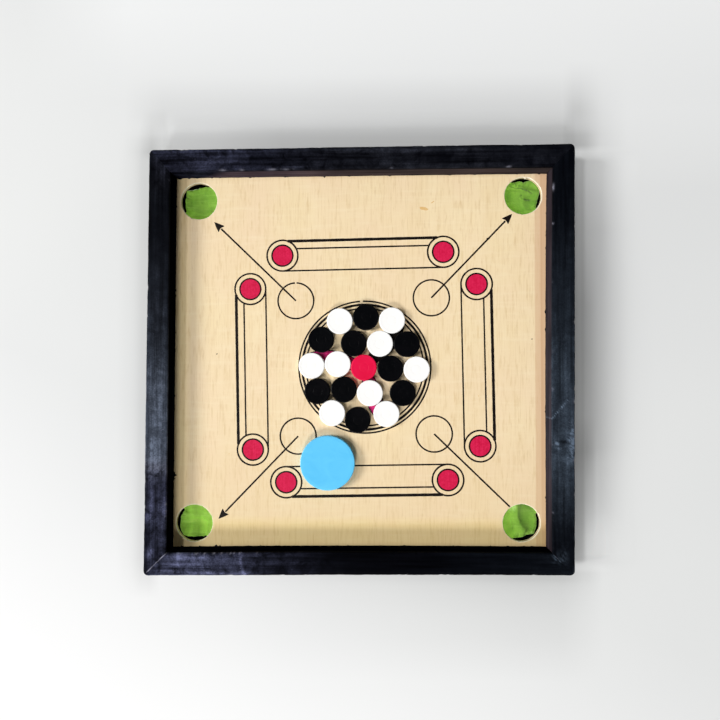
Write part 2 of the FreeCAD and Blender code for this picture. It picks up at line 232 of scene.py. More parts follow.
class Shader:
    """A Principled material under construction. Texture scales are in cycles a metre."""

    def __init__(self, name):
        self.material = bpy.data.materials.new(name)
        self.material.use_nodes = True
        self.tree = self.material.node_tree
        self.tree.nodes.clear()
        output = self.node("ShaderNodeOutputMaterial")
        self.surface = self.node("ShaderNodeBsdfPrincipled")
        self.put(output.inputs["Surface"], self.surface.outputs["BSDF"])
        self.place = self.node("ShaderNodeTexCoord").outputs["Object"]

    def node(self, kind, **props):
        node = self.tree.nodes.new(kind)
        for key, value in props.items():
            setattr(node, key, value)
        return node

    def put(self, socket, value):
        if isinstance(value, bpy.types.NodeSocket):
            self.tree.links.new(value, socket)
        else:
            socket.default_value = value

    def fill(self, node, **inputs):
        """Set or link inputs, named with _ for each space."""
        for key, value in inputs.items():
            self.put(node.inputs[key.replace("_", " ")], value)

    def finish(self, **inputs):
        self.fill(self.surface, **inputs)
        return self.material

    def mapped(self, scale, turn=0.0, move=(0, 0, 0)):
        """The object's coordinates scaled, moved, and turned about z."""
        node = self.node("ShaderNodeMapping")
        scale = scale if isinstance(scale, tuple) else (scale,) * 3
        self.fill(node, Scale=scale, Rotation=(0, 0, turn), Location=move, Vector=self.place)
        return node.outputs["Vector"]

    def noise(self, scale, detail=3, rough=.6, distortion=0, turn=0, move=(0, 0, 0)):
        node = self.node("ShaderNodeTexNoise")
        self.fill(node, Vector=self.mapped(scale, turn, move), Scale=1.0, Detail=detail,
                  Roughness=rough, Distortion=distortion)
        return node.outputs["Fac"]

    def wave(self, direction, scale, distortion, turn):
        node = self.node("ShaderNodeTexWave", bands_direction=direction)
        self.fill(node, Vector=self.mapped(1, turn), Scale=scale, Distortion=distortion,
                  Detail=1.0)
        return node.outputs["Fac"]

    def ramp(self, value, stops):
        node = self.node("ShaderNodeValToRGB")
        fill_ramp(node, stops)
        self.fill(node, Fac=value)
        return node.outputs["Color"]

    def math(self, operation, *values, clamp=False):
        node = self.node("ShaderNodeMath", operation=operation, use_clamp=clamp)
        for socket, value in zip(node.inputs, (*values, 0, 0)):
            self.put(socket, value)
        return node.outputs[0]

    def times(self, *values, clamp=False):
        return reduce(lambda a, b: self.math("MULTIPLY", a, b, clamp=clamp), values)

    def plus(self, *values, clamp=False):
        return reduce(lambda a, b: self.math("ADD", a, b, clamp=clamp), values)

    def mix(self, share, under, over, mode="MIX"):
        node = self.node("ShaderNodeMix", data_type="RGBA", blend_type=mode)
        for index, value in ((0, share), (6, under), (7, over)):
            self.put(node.inputs[index], value)
        return node.outputs[2]

    def attribute(self, name):
        return self.node("ShaderNodeAttribute", attribute_name=name).outputs["Fac"]

    def remap(self, value, span, to=(0, 1)):
        node = self.node("ShaderNodeMapRange")
        self.fill(node, Value=value, From_Min=span[0], From_Max=span[1],
                  To_Min=to[0], To_Max=to[1])
        return node.outputs[0]

    def bump(self, height, strength, distance, under=None):
        node = self.node("ShaderNodeBump")
        self.fill(node, Strength=strength, Distance=distance, Height=height)
        if under is not None:
            self.fill(node, Normal=under)
        return node.outputs["Normal"]

    def axes(self):
        node = self.node("ShaderNodeSeparateXYZ")
        self.put(node.inputs[0], self.place)
        return list(node.outputs)


# ------------------------------------------------------------------ materials
def paint_material(name, along_x):
    """Brushed dark paint on wood, rubbed to a pale haze where hands and hard edges met it; where
    the lamps light the inner walls they are coloured brown as painted light.
    """
    m = Shader(name)

    def grain(lengthwise, across):
        return (lengthwise, across, across) if along_x else (across, lengthwise, across)

    streak = m.noise(grain(14, 330), detail=4, rough=.62)
    drag = m.noise(grain(5, 150), move=(3, 1, 4))
    fine = m.noise(1100)
    blotch = m.noise(120, detail=5, rough=.62, distortion=.5)
    cloud = m.noise(34, detail=2, rough=.5, move=(1, 2, 3))
    base = m.mix(m.remap(streak, (.35, .7)), srgb(1, 1, 3), srgb(6, 7, 13))
    haze, tint = m.attribute("haze"), m.attribute("tint")
    patchy = m.times(haze, m.remap(blotch, (.36, .66), to=(.2, 1.9)),
                     m.remap(streak, (.34, .66), to=(.35, 1.75)),
                     m.remap(drag, (.34, .66), to=(.5, 1.5)),
                     m.remap(fine, (.3, .7), to=(.5, 1.5)),
                     m.remap(cloud, (.35, .65), to=(.7, 1.3)))
    calm = m.times(haze, m.times(m.remap(fine, (.3, .7), to=(.85, 1.45)),
                                 m.remap(streak, (.34, .66), to=(.75, 1.55))))
    mask = m.plus(m.times(patchy, m.remap(tint, (.4, 1), to=(1, .3))),
                  m.times(calm, m.remap(tint, (.4, 1), to=(0, .7))), clamp=True)
    pale = m.mix(m.remap(tint, (0, .5)), srgb(110, 115, 150), srgb(112, 117, 136))
    pale = m.mix(m.remap(tint, (.5, 1)), pale, srgb(92, 108, 126))
    colour = m.mix(mask, base, pale)
    speck = m.noise(640, detail=2, rough=.55, move=(3, 1, 2))
    dots = m.times(m.remap(speck, (.66, .76)), m.remap(haze, (.05, .5), to=(0, .5)), clamp=True)
    colour = m.mix(dots, colour, srgb(150, 154, 180))
    worn = m.times(m.attribute("wear"), m.remap(fine, (.3, .6), to=(.5, 1.2)), clamp=True)
    colour = m.mix(worn, colour, srgb(176, 176, 196))
    # painted light: the brown of the lit inner walls, in two shades
    wall_light = m.mix(m.attribute("warm"), srgb(99, 85, 97), srgb(80, 70, 71))
    wall_lit_share = m.times(m.attribute("lit_wall_brown"), m.remap(streak, (.3, .7), to=(.5, 1.15)), clamp=True)
    brushed = m.bump(m.plus(m.times(streak, .8), m.times(fine, .3)), strength=.4, distance=.0004)
    return m.finish(Base_Color=m.mix(wall_lit_share, colour, wall_light),
                    Roughness=m.remap(m.plus(streak, mask), (.3, 1.4), to=(.42, .7)),
                    Normal=m.bump(blotch, strength=.2, distance=.001, under=brushed),
                    Specular_IOR_Level=m.remap(m.attribute("inner"), (0, 1), to=(.013, 0)))


def ply_material():
    """Pale lacquered veneer: short pores along y over warm and cool patches."""
    m = Shader("ply_face")
    pores = m.noise((1500, 34, 60), detail=4, rough=.65)
    dashes = m.noise((620, 75, 20), move=(4, 1, 0))
    bands = m.noise((70, 5, 4), rough=.5, move=(1, 2, 0))
    figure = m.noise((45, 380, 20), detail=2, rough=.5)
    cloud = m.noise((24, 15, 9), rough=.5, move=(2, 5, 1))
    pore_colour = srgb(222, 195, 149)
    colour = m.mix(m.remap(bands, (.3, .7)), srgb(240, 218, 176), srgb(244, 224, 184))
    colour = m.mix(m.remap(cloud, (.35, .7), to=(0, .85)), colour, srgb(241, 216, 181))
    colour = m.mix(m.remap(dashes, (.52, .74), to=(0, .8)), colour, pore_colour)
    colour = m.mix(m.remap(pores, (.52, .76), to=(0, .75)), colour, pore_colour)
    colour = m.mix(m.remap(figure, (.5, .8), to=(0, .3)), colour, srgb(250, 235, 203))
    # a pinkish strip by the right wall
    x, y, _ = m.axes()
    stripe = m.noise((420, 4, 20), detail=2, rough=.5, move=(6, 2, 0))
    ragged_x = m.plus(x, m.times(m.math("SUBTRACT", stripe, .5), .0006))
    pink = m.plus(m.remap(ragged_x, (.1288, .1298), to=(0, .62)),
                  m.remap(ragged_x, (.1330, .1340), to=(0, .32)), clamp=True)
    pink = m.times(pink, m.remap(stripe, (.3, .7), to=(.8, 1.15)), clamp=True)
    colour = m.mix(pink, colour, srgb(212, 174, 138))
    raw = m.attribute("raw")
    # painted shade, and partly the veneer's own tone: darker towards the front
    colour = m.mix(m.remap(y, (-.04, -.13), to=(0, .32)), colour, srgb(222, 196, 146))
    # painted shade: yellower along the front and left walls, where the walls' shadow bands fall
    wall_shade_tint = m.plus(m.remap(x, (-.130, -.124), to=(.75, 0)),
                     m.remap(y, (-.122, -.115), to=(1, 0)), clamp=True)
    colour = m.mix(wall_shade_tint, colour, (1, .985, .82, 1), "MULTIPLY")
    colour = m.mix(m.times(raw, .75), colour, srgb(248, 238, 216))
    pitted = m.bump(pores, strength=.25, distance=.00012)
    return m.finish(Base_Color=colour, Roughness=m.remap(pores, (.3, .8), to=(.38, .6)),
                    Normal=m.bump(dashes, strength=.2, distance=.0002, under=pitted),
                    Specular_IOR_Level=.3)


def raw_ply_material():
    """Unfinished underside veneer: rotary-cut figure, coarser and browner, with dark flecks."""
    m = Shader("ply_back")
    figure = m.noise((7, 60, 20), detail=5, distortion=1.6)
    pores = m.noise((60, 1400, 200))
    fleck = m.noise((60, 240, 60), detail=2, rough=.5, move=(7, 3, 1))
    colour = m.ramp(figure, [(.25, srgb(150, 112, 74)), (.45, srgb(186, 148, 104)),
                             (.6, srgb(205, 170, 124)), (.8, srgb(170, 128, 84))])
    colour = m.mix(m.remap(pores, (.55, .75), to=(0, .5)), colour, srgb(122, 86, 54))
    colour = m.mix(m.remap(fleck, (.72, .8), to=(0, .7)), colour, srgb(84, 54, 34))
    height = m.plus(pores, m.times(figure, .6))
    return m.finish(Base_Color=colour, Roughness=.8, Specular_IOR_Level=.2,
                    Normal=m.bump(height, strength=.5, distance=.0004))


def ply_edge_material():
    """Three glued layers seen edge-on in the pocket walls and round the sheet."""
    m = Shader("ply_edge")
    z = m.axes()[2]
    fibre = m.noise((700, 700, 1800))
    z = m.plus(z, m.times(m.math("SUBTRACT", fibre, .5), .0003))
    layers = m.ramp(m.remap(z, (SHEET_LOW * MM, SHEET_TOP * MM)), [
        (0, srgb(225, 203, 168)), (.27, srgb(232, 212, 180)), (.30, srgb(178, 142, 104)),
        (.34, srgb(214, 186, 150)), (.62, srgb(222, 196, 160)), (.66, srgb(190, 156, 118)),
        (.70, srgb(246, 234, 210)), (1, srgb(252, 244, 226))])
    colour = m.mix(m.remap(fibre, (.45, .75), to=(0, .3)), layers, srgb(214, 186, 146))
    return m.finish(Base_Color=colour, Roughness=.85, Specular_IOR_Level=.2,
                    Normal=m.bump(fibre, strength=.6, distance=.0004))


def ink_material(name, dark, light, rough=.45):
    """Screen-printed ink: slightly uneven cover, faintly taking the grain under it."""
    m = Shader(name)
    grain = m.noise((1300, 40, 60))
    mottle = m.noise(700, rough=.7)
    cloud = m.noise(130, detail=2, rough=.5)
    cover = m.plus(m.times(grain, .4), m.times(mottle, .6))
    colour = m.mix(m.remap(cover, (.42, .66)), dark, light)
    colour = m.mix(m.remap(cloud, (.35, .7), to=(0, .35)), colour, light)
    return m.finish(Base_Color=colour, Specular_IOR_Level=.15,
                    Roughness=m.remap(mottle, (.3, .7), to=(rough, rough + .2)),
                    Normal=m.bump(cover, strength=.3, distance=.0001))


def plastic_material(name, colour, flow_colour, rough, coat, scuff, specular):
    """Moulded plastic with flow lines, a soft sheen and hairline scuffs from sliding."""
    m = Shader(name)
    flow = m.noise((60, 90, 60), rough=.55, distortion=.8)
    hair = m.noise((90, 1600, 60), detail=2, turn=.5)
    cross_hair = m.noise((1500, 80, 60), detail=2, turn=.2)
    peel = m.noise(420, detail=2, rough=.5)
    dust = m.noise(1900, detail=2)
    scratch = m.plus(m.remap(hair, (.66, .72)), m.remap(cross_hair, (.68, .74)), clamp=True)
    colour = m.mix(m.remap(flow, (.35, .7)), colour, flow_colour)
    colour = m.mix(m.times(m.remap(dust, (.68, .78)), .25 * scuff), colour, grey(.6))
    roughness = m.plus(m.remap(peel, (.3, .7), to=(rough, rough + .08)),
                       m.times(scratch, .22 * scuff))
    height = m.math("SUBTRACT", m.times(peel, .5), m.times(scratch, .35 * scuff))
    return m.finish(Base_Color=colour, Roughness=roughness, Specular_IOR_Level=specular,
                    Normal=m.bump(height, strength=.14, distance=.0002),
                    Coat_Weight=coat, Coat_Roughness=.18)


def cloth_material():
    """Soft woven nylon with light and dark slubs; its colour carries painted light and shade, and
    a painted glow.
    """
    m = Shader("pouch_cloth")
    turn = .35
    warp = m.wave("X", scale=470, distortion=.6, turn=turn)
    weft = m.wave("Y", scale=470, distortion=.6, turn=turn)
    weave = m.math("MAXIMUM", warp, weft)
    slub = m.noise((60, 420, 120), turn=turn)
    cross_slub = m.noise((420, 60, 120), turn=turn)
    cloud = m.noise(85)
    dark = srgb(80, 134, 34)
    colour = m.mix(m.remap(cloud, (.32, .68)), srgb(108, 164, 48), srgb(140, 195, 66))
    colour = m.mix(m.remap(slub, (.5, .72), to=(0, .45)), colour, srgb(160, 212, 88))
    colour = m.mix(m.remap(cross_slub, (.52, .74), to=(0, .35)), colour, dark)
    colour = m.mix(m.remap(weave, (0, .6), to=(.38, 0)), colour, dark)
    # painted light: a pouch in shade is lifted towards a brighter green
    bright = m.mix(m.remap(slub, (.4, .7)), srgb(182, 234, 98), srgb(200, 244, 120))
    colour = m.mix(m.attribute("painted_light_lift"), colour, bright)
    # painted highlights, and pale threads, at the pale spots
    colour = m.mix(m.attribute("pale"), colour, srgb(196, 248, 140))
    # painted light and shade: the colour scaled by a gain per vertex
    painted_light_gain = m.node("ShaderNodeVectorMath", operation="SCALE")
    m.put(painted_light_gain.inputs[0], colour)
    m.fill(painted_light_gain, Scale=m.attribute("painted_light_gain"))
    colour = m.mix(m.times(m.attribute("hem"), .85), painted_light_gain.outputs[0], srgb(176, 196, 176))
    slubs = m.bump(slub, strength=.3, distance=.0006)
    # painted light: the cloth glows a little where the lamps don't reach it
    return m.finish(Base_Color=colour, Roughness=.85, Specular_IOR_Level=.2,
                    Normal=m.bump(weave, strength=.45, distance=.00025, under=slubs),
                    Emission_Color=colour, Emission_Strength=m.attribute("painted_glow"),
                    Sheen_Weight=.25, Sheen_Roughness=.5)


def steel_material():
    """Plain drawn wire, lightly tarnished, with fine draw marks and spots of rust."""
    m = Shader("fastener_steel")
    draw = m.noise((1800, 1800, 140), detail=2)
    spot = m.noise(800, move=(2, 2, 2))
    rust = m.remap(spot, (.6, .72), to=(0, .8))
    wire = m.mix(m.remap(draw, (.3, .7)), (.55, .55, .53, 1), grey(.34))
    return m.finish(Base_Color=m.mix(rust, wire, srgb(110, 70, 44)),
                    Roughness=m.remap(spot, (.4, .7), to=(.28, .6)),
                    Normal=m.bump(draw, strength=.3, distance=.0001),
                    Metallic=m.math("SUBTRACT", 1, rust))


def shade_sheet_material():
    """A matt black sheet put under the hole as painted shade: close dark weave, faintly dusty."""
    m = Shader("pouch_shade_sheet")
    weave = m.wave("X", scale=620, distortion=.5, turn=.8)
    dust = m.noise(500)
    colour = m.mix(m.remap(dust, (.45, .8)), srgb(4, 4, 4), srgb(20, 21, 18))
    return m.finish(Base_Color=colour, Roughness=.95, Specular_IOR_Level=.05,
                    Normal=m.bump(weave, strength=.4, distance=.0002))


PAINT_X = paint_material("rail_paint_x", along_x=True)
PAINT_Y = paint_material("rail_paint_y", along_x=False)
PLY, PLY_BACK, PLY_EDGE = ply_material(), raw_ply_material(), ply_edge_material()
INK_BLACK = ink_material("ink_black", dark=srgb(6, 4, 4), light=srgb(26, 18, 14))
INK_RED = ink_material("ink_red", dark=srgb(198, 12, 62), light=srgb(224, 36, 86))
INK_MAGENTA = ink_material("ink_magenta", dark=srgb(176, 20, 92), light=srgb(205, 50, 120))
SPECK = ink_material("sheet_speck", dark=srgb(222, 182, 120), light=srgb(232, 200, 142), rough=.6)
SPECK_DARK = ink_material("sheet_speck_dark", dark=srgb(60, 44, 34), light=srgb(96, 74, 56),
                          rough=.6)
WHITE = plastic_material("man_white_plastic", srgb(254, 254, 253), srgb(251, 251, 250),
                         rough=.34, coat=.1, scuff=.2, specular=.4)
BLACK = plastic_material("man_black_plastic", srgb(3, 4, 6), srgb(7, 7, 10),
                         rough=.28, coat=.03, scuff=.2, specular=.08)
RED = plastic_material("queen_red_plastic", srgb(232, 15, 72), srgb(225, 12, 64),
                       rough=.30, coat=.1, scuff=.3, specular=.3)
BLUE = plastic_material("striker_blue_acrylic", srgb(94, 199, 250), srgb(102, 206, 254),
                        rough=.30, coat=.15, scuff=.3, specular=.3)
CLOTH = cloth_material()
STEEL = steel_material()
PAINT_CREEP = ink_material("paint_creep", dark=srgb(8, 8, 12), light=srgb(24, 22, 24), rough=.5)
SHADE_SHEET = shade_sheet_material()


# ------------------------------------------------------------------ rails
def out_of_true(points):
    """The frame stands a little out of square: its walls are up to 3 mm off their lines."""
    points = np.array(points, float)
    x, y = points[:, 0].copy(), points[:, 1].copy()
    # 0..1 from left to right and front to back, then 0..1 outward across a rail
    u, v = ((np.clip(c / FRAME_HALF, -1, 1) + 1) / 2 for c in (x, y))
    out_x, out_y = (np.clip((np.abs(c) - INNER) / RAIL_W, 0, 1) for c in (x, y))
    left = (.5 * v - 1.1 * (1 - v)) * (1 - out_x) + (v - 1.65 * (1 - v)) * out_x
    right = 2.2 * v ** 3 * (1 - out_x) + 1.75 * v * out_x
    front = -2.7 * (1 - u) ** 2.6 * (1 - out_y) - 2.8 * (1 - u) ** 1.5 * out_y
    back = -1.1 * (1 - u) ** 1.2 * (1 - out_y) + (.7 * u - .85 * (1 - u)) * out_y
    near_x, near_y = (smoothstep(INNER - 36, INNER - 1, np.abs(c)) for c in (x, y))
    points[:, 0] += np.where(x < 0, left, right) * near_x
    points[:, 1] += np.where(y < 0, front, back) * near_y
    return points


def rail_section():
    """A rail's outline as (depth in from the outer face, height), rebated for the sheet."""
    outer_r, inner_r, low_r, lip_r = 1.15, .75, .35, .2
    rebate_depth, rebate_z = RAIL_W - 6, SHEET_TOP + .02

    def arc(depth, z, radius, start, stop, steps):
        angles = [math.radians(start + (stop - start) * k / steps) for k in range(steps + 1)]
        return [(depth + radius * math.cos(a), z + radius * math.sin(a)) for a in angles]

    corners = (arc(low_r, low_r, low_r, 270, 180, 3)
               + arc(outer_r, FRAME_TOP - outer_r, outer_r, 180, 90, 6)
               + arc(RAIL_W - inner_r, FRAME_TOP - inner_r, inner_r, 90, 0, 5)
               + arc(RAIL_W - lip_r, rebate_z + lip_r, lip_r, 0, -90, 2)
               + [(rebate_depth, rebate_z)]
               + arc(rebate_depth - low_r, low_r, low_r, 0, -90, 3))
    outline = []
    for k, (depth, z) in enumerate(corners):               # add points along the straight runs
        next_depth, next_z = corners[(k + 1) % len(corners)]
        steps = max(1, int(math.hypot(next_depth - depth, next_z - z) / .95))
        outline += [(depth + (next_depth - depth) * j / steps, z + (next_z - z) * j / steps)
                    for j in range(steps)]
    return np.array(outline)


def rail_grid():
    """An unworn front rail: grids of x, depth, height, and y in from the frame's front."""
    near_end = [0, .12, .3, .6, 1, 1.5, 2.1, 2.8, 3.6, 4.5]
    from_end = np.array(near_end + list(np.arange(5.3, FRAME_HALF, .8)))
    half = FRAME_HALF - from_end
    stations = np.unique(np.round(np.concatenate([-half, half]), 4))
    depth, z = (np.tile(column, (len(stations), 1)) for column in rail_section().T)
    mitre_gap, straight = .02, FRAME_HALF - CORNER_R
    radius = np.maximum(CORNER_R - depth, 0)               # of the rounded corner at this depth
    end = np.where(depth < CORNER_R, straight + radius * math.sqrt(.5), FRAME_HALF - depth)
    x = (stations / FRAME_HALF)[:, None] * (end - mitre_gap)
    over = np.maximum(np.abs(x) - straight, 0)
    drop = radius - np.sqrt(np.maximum(radius ** 2 - over ** 2, 0))
    return x, depth, z, depth + np.where((over > 0) & (radius > 0), drop, 0)


def rail_wear(x, depth, z, seed, knock_seed):
    """How far a worn rail's surface lies inward and up, and how deep its nicks are."""
    def edge(edge_depth, edge_z, spread):
        return np.exp(-((depth - edge_depth) ** 2 + (z - edge_z) ** 2) / spread)

    outer = edge(.2, FRAME_TOP - .2, 1.1)
    inner = edge(RAIL_W - .2, FRAME_TOP - .2, .8)
    low = edge(.2, .2, .9)
    rub = np.maximum(.10 + .12 * ripple(x, scale=.045, seed=seed)
                     + .07 * ripple(x, scale=.16, seed=seed + 9)
                     + .05 * ripple(x, scale=.7, seed=seed + 3), 0)
    inward = rub * (outer - inner + low)
    up = -rub * (outer + inner) * .8 + rub * low * .6
    nick = np.zeros_like(x)
    rs = np.random.RandomState(knock_seed)
    for _ in range(16):
        knock_x, knock, width = rs.uniform(-146, 146), rs.uniform(.1, .45), rs.uniform(.8, 2.6)
        which = rs.randint(0, 3)
        dent = bell(x, knock_x, .5 * width) * knock * (outer, inner, low)[which]
        inward += dent * (-1 if which == 1 else 1)
        up -= dent * (-1 if which == 2 else 1)
        nick = np.maximum(nick, dent * 1.2 * rs.uniform(0, 1))
    # planed faces are never quite flat
    top_face = (z > FRAME_TOP - .05) & (depth > .8) & (depth < RAIL_W - .6)
    up -= np.where(top_face, .05 + .035 * ripple(x, depth * 3, .07, seed + 5)
                   + .015 * ripple(x, depth * 8, .3, seed + 6), 0)
    inward += np.where(depth < .05, .07 + .03 * ripple(x, z, .06, seed + 8), 0)
    inner_face = (depth > RAIL_W - .05) & (z > SHEET_TOP + .02 + .3)
    inward -= np.where(inner_face, .03 + .02 * ripple(x, z, .09, seed + 9), 0)
    return inward, up, nick


def rail(tag, turn, material, look, knock_seed, flecks=(), mitres=(), wall_light=0, inner_haze=.02):
    """A mitred batten with eased and knocked edges, drawn as the front rail and then turned.

    look(x, depth, z) gives its haze and tint. flecks are bare chips (x, width, strength);
    mitres are rubbed glue lines (end, from depth, to depth, strength).
    """
    seed = turn // 90 + 1
    x, depth, z, y_in = rail_grid()
    inward, up, nick = rail_wear(x, depth, z, seed, knock_seed)
    back = tag == "back"
    haze, tint = look(x, depth, z)
    plain, _ = look(x, np.full_like(depth, 8) + 3 * ripple(x, z, .15, seed + 50),
                    np.full_like(z, 25))
    down = smoothstep(FRAME_TOP - 1.2, FRAME_TOP - 4.5, z) * (depth < .6)
    soft = np.clip(plain, 0, .16) * (.55 + .5 * ripple(x, z * 2, .12, seed + 51))
    haze = haze * (1 - down) + soft * down
    wall = depth > RAIL_W - .35
    inner_wall = wall & (z < FRAME_TOP - .9)
    wall_light_top = FRAME_TOP - (2.3 if back else 1.2) + .4 * ripple(x, scale=.25, seed=seed + 40)
    wear = np.clip(nick * haze * 4, 0, 1)
    for fleck_x, width, strength in flecks:
        chip = strength * bell(x, fleck_x, width) * bell(depth, RAIL_W - .35, .55)
        wear = np.maximum(wear, chip * (z > FRAME_TOP - 1.2))
    from_mitre = (FRAME_HALF - depth) - np.abs(x)
    for end, start, stop, strength in mitres:
        line = ((x * end > 0) & (from_mitre < .42) & (z > FRAME_TOP - 1.6)
                & (depth > start) & (depth < stop))
        rubbed = strength * np.clip(.75 + .9 * ripple(depth, scale=.9, seed=seed + 20), 0, 1.2)
        wear = np.where(line, np.maximum(wear, rubbed), wear)
    # painted light: the inner walls of the right and back rails are coloured brown where the lamps
    # light them, below a black top band
    lit_wall_brown = (np.where(wall & (z < wall_light_top), 1.0, 0.0) * wall_light
             * (.85 + .3 * ripple(x, z * 2, .05, seed + 30)))
    warm = np.full_like(x, .25)
    if back:                                   # painted shadow: the painted wall light dies out in the back left corner, where the left wall shades it
        lit_wall_brown = lit_wall_brown * (1 - smoothstep(92, 112, x + (z - 18) * 1.4))
        warm = 1 - smoothstep(-10, 80, x)
    haze = np.where(inner_wall, haze * inner_haze, haze)

    verts = np.stack([x, -(FRAME_HALF - y_in - inward), np.clip(z + up, 0, FRAME_TOP)], -1)
    rows, width = x.shape
    faces = bridge(0, rows, width) + [
        tuple(range(width)), tuple(reversed(range((rows - 1) * width, rows * width)))]
    cos, sin = math.cos(math.radians(turn)), math.sin(math.radians(turn))
    verts = verts.reshape(-1, 3) @ np.array([[cos, -sin, 0], [sin, cos, 0], [0, 0, 1]]).T
    grids = {"haze": haze, "wear": np.clip(wear, 0, 1), "lit_wall_brown": lit_wall_brown, "warm": warm,
             "tint": tint, "inner": np.where(inner_wall, 1, 0)}
    ob = piece("rail_" + tag, out_of_true(verts), faces, material,
               replaces="frame_rail_" + tag,
               attributes={name: grid.ravel() for name, grid in grids.items()})
    face_outward(ob, sharp_degrees=38)


def along(x, *knots):
    """A level given at a few (x, level) stations along a rail."""
    stations, levels = np.array(knots, float).T
    return np.interp(x, stations, levels)


def speckle(x, depth, seed):
    return np.clip(.5 + 3 * ripple(x, depth, 1, seed), 0, 2.5)


def look_front(x, depth, z):
    """Local x is the world's x."""
    haze = along(
        x, (-150, .15), (-139, .23), (-125, .38), (-111, .35), (-97, .18), (-82, .15),
        (-68, .062), (-54, .036), (-40, .022), (-25, .008), (-10, .0015), (50, .0015),
        (75, .008), (103, .011), (131, .016), (150, .024))
    haze = haze * (1 + .9 * bell(x, -128, 1.2) - .3 * bell(x, -137, 5))
    arc = x + (depth - 8) * .22 - .02 * (depth - 8) ** 2
    haze += .42 * bell(arc, -83.5, .9) * (z > 20)
    # scratches round the front right mitre: distance off it, strength, depth from and to
    for off, strength, start, stop in ((.7, .34, 9, 15), (2.4, .28, 10.5, 14.5),
                                       (-1.6, .28, 10.5, 15)):
        from_mitre = FRAME_HALF - depth - x + .35 * ripple(depth, scale=.6, seed=71)
        haze += (strength * bell(from_mitre, off, .35) * (depth > start) * (depth < stop)
                 * (ripple(depth, x, 1.9, 72) > 0))
    haze += .10 * bell(x, 140, 4) * bell(depth, 12, 3) * speckle(x, depth, 73)
    return haze * np.where(z < 14, .7, 1), smoothstep(-40, 80, x)


def look_right(x, depth, z):
    """Local x runs along world +y."""
    haze = along(
        x, (-150, .015), (-131, .018), (-117, .03), (-103, .08), (-88, .13), (-74, .17),
        (-60, .17), (-46, .19), (-31, .18), (-17, .155), (-3, .135), (11, .097), (25, .08),
        (40, .06), (54, .05), (68, .04), (82, .034), (97, .02), (139, .012))
    scuff = bell(x, -60, 11) * (1 - smoothstep(1, 7, depth))
    haze += .60 * scuff * np.clip(.45 + 1.5 * ripple(x, depth, 1.5, 61)
                                  + .9 * ripple(x, depth * .4, 3.1, 62), 0, 1.6)
    haze += (.10 * bell(depth, .8, .8) * np.clip(ripple(x, scale=.35, seed=63) + .1, 0, 1)
             * (1 - smoothstep(0, 90, x)))
    t = (-29.4 - x) / 12.8                     # a long scratch running in towards the sheet
    haze += (1.1 * bell(depth - (5.3 + t * 10.7), 0, .42) * (t > -.02) * (t < 1.05)
             * (.5 + .5 * (1 - np.clip(t, 0, 1)))
             * np.clip(.8 + 1.2 * ripple(x, depth, .5, 64), 0, 1.3))
    haze += .12 * bell(x, -139, 4) * bell(depth, 9, 3) * speckle(x, depth, 74)
    haze *= (1 - .9 * bell(x, -58.6, 1.7) * bell(depth, 8, 3.6)
             - .5 * bell(x, -46, 8) * bell(depth, 13.5, 2))
    # a knock across the rail: strength, x, its width, depth, its width
    for strength, knock_x, x_width, knock_depth, depth_width in (
            (1.2, -59.8, .75, 1.9, .9), (1.32, -59.8, .75, 12.4, .9), (.9, -57.5, .7, 4.2, .7),
            (.9, -57.5, .7, .9, .7), (.5, -62.2, .6, 1.6, 1.4), (.5, -63.2, .7, 11.5, 1.4)):
        haze += strength * bell(x, knock_x, x_width) * bell(depth, knock_depth, depth_width)
    return haze, np.full_like(x, .95)


def look_back(x, depth, z):
    """Local x runs along world -x."""
    haze = along(
        x, (-140, .018), (-110, .02), (-70, .03), (-25, .044), (0, .046), (45, .05),
        (60, .052), (75, .05), (88, .075), (100, .075), (112, .10), (126, .09), (135, .06),
        (143, .045), (150, .04))
    haze += (.03 * bell(x, -20, 6) + .10 * bell(x, 104, 16) * bell(depth, 10, 3.5)
             + .08 * bell(x, 60, 20) * bell(depth, 15.2, 1))
    return haze, .5 - .5 * smoothstep(0, 90, x)


def look_left(x, depth, z):
    """Local x runs along world -y."""
    haze = along(
        x, (-150, .06), (-140, .055), (-126, .035), (-111, .014), (-84, .014), (-68, .034),
        (-54, .05), (-40, .064), (-25, .082), (-11, .118), (3, .20), (17, .33), (31, .41),
        (46, .46), (60, .44), (74, .40), (82, .36), (88, .30), (103, .30), (117, .19),
        (131, .22), (150, .18))
    step = 81 + 1.5 * ripple(depth, scale=.5, seed=4)
    haze *= 1 - .56 * smoothstep(-1, 1, x - step)
    haze += (.35 * bell(x, 112, 3.5) * bell(depth, 2.5, 2.5)
             + .45 * bell(x, 137, 3) * bell(depth, 4.5, 2.5))
    tint = .75 * (1 - smoothstep(66, 96, x)) * (.35 + .65 * smoothstep(-142, -112, x))
    return haze, tint


rail("front", 0, PAINT_X, look_front, knock_seed=11,
     flecks=[(-127.5, 1, .25), (-115.5, .5, .2), (-109.5, .6, .35), (-103, .9, .3),
             (-97.5, .6, .3), (-91, .5, .4), (-88.5, .4, .35), (-84.5, .5, .3), (-72, .4, .2)],
     mitres=[(-1, .4, 16.5, .55), (1, 9.5, 14.5, .08)])
rail("right", 90, PAINT_Y, look_right, knock_seed=23, wall_light=.34, inner_haze=.5,
     flecks=[(122, 2, .4), (96, .6, .25)])
rail("back", 180, PAINT_X, look_back, knock_seed=37, wall_light=.74, inner_haze=.6,
     flecks=[(98, 2.2, .25), (84, 1.6, .2), (62, 2.6, .3), (52, 2, .2), (-107, 1.6, .25)])
rail("left", 270, PAINT_Y, look_left, knock_seed=41,
     flecks=[(104, .5, .4), (112, .4, .3)], mitres=[(1, .4, 16.5, .55)])

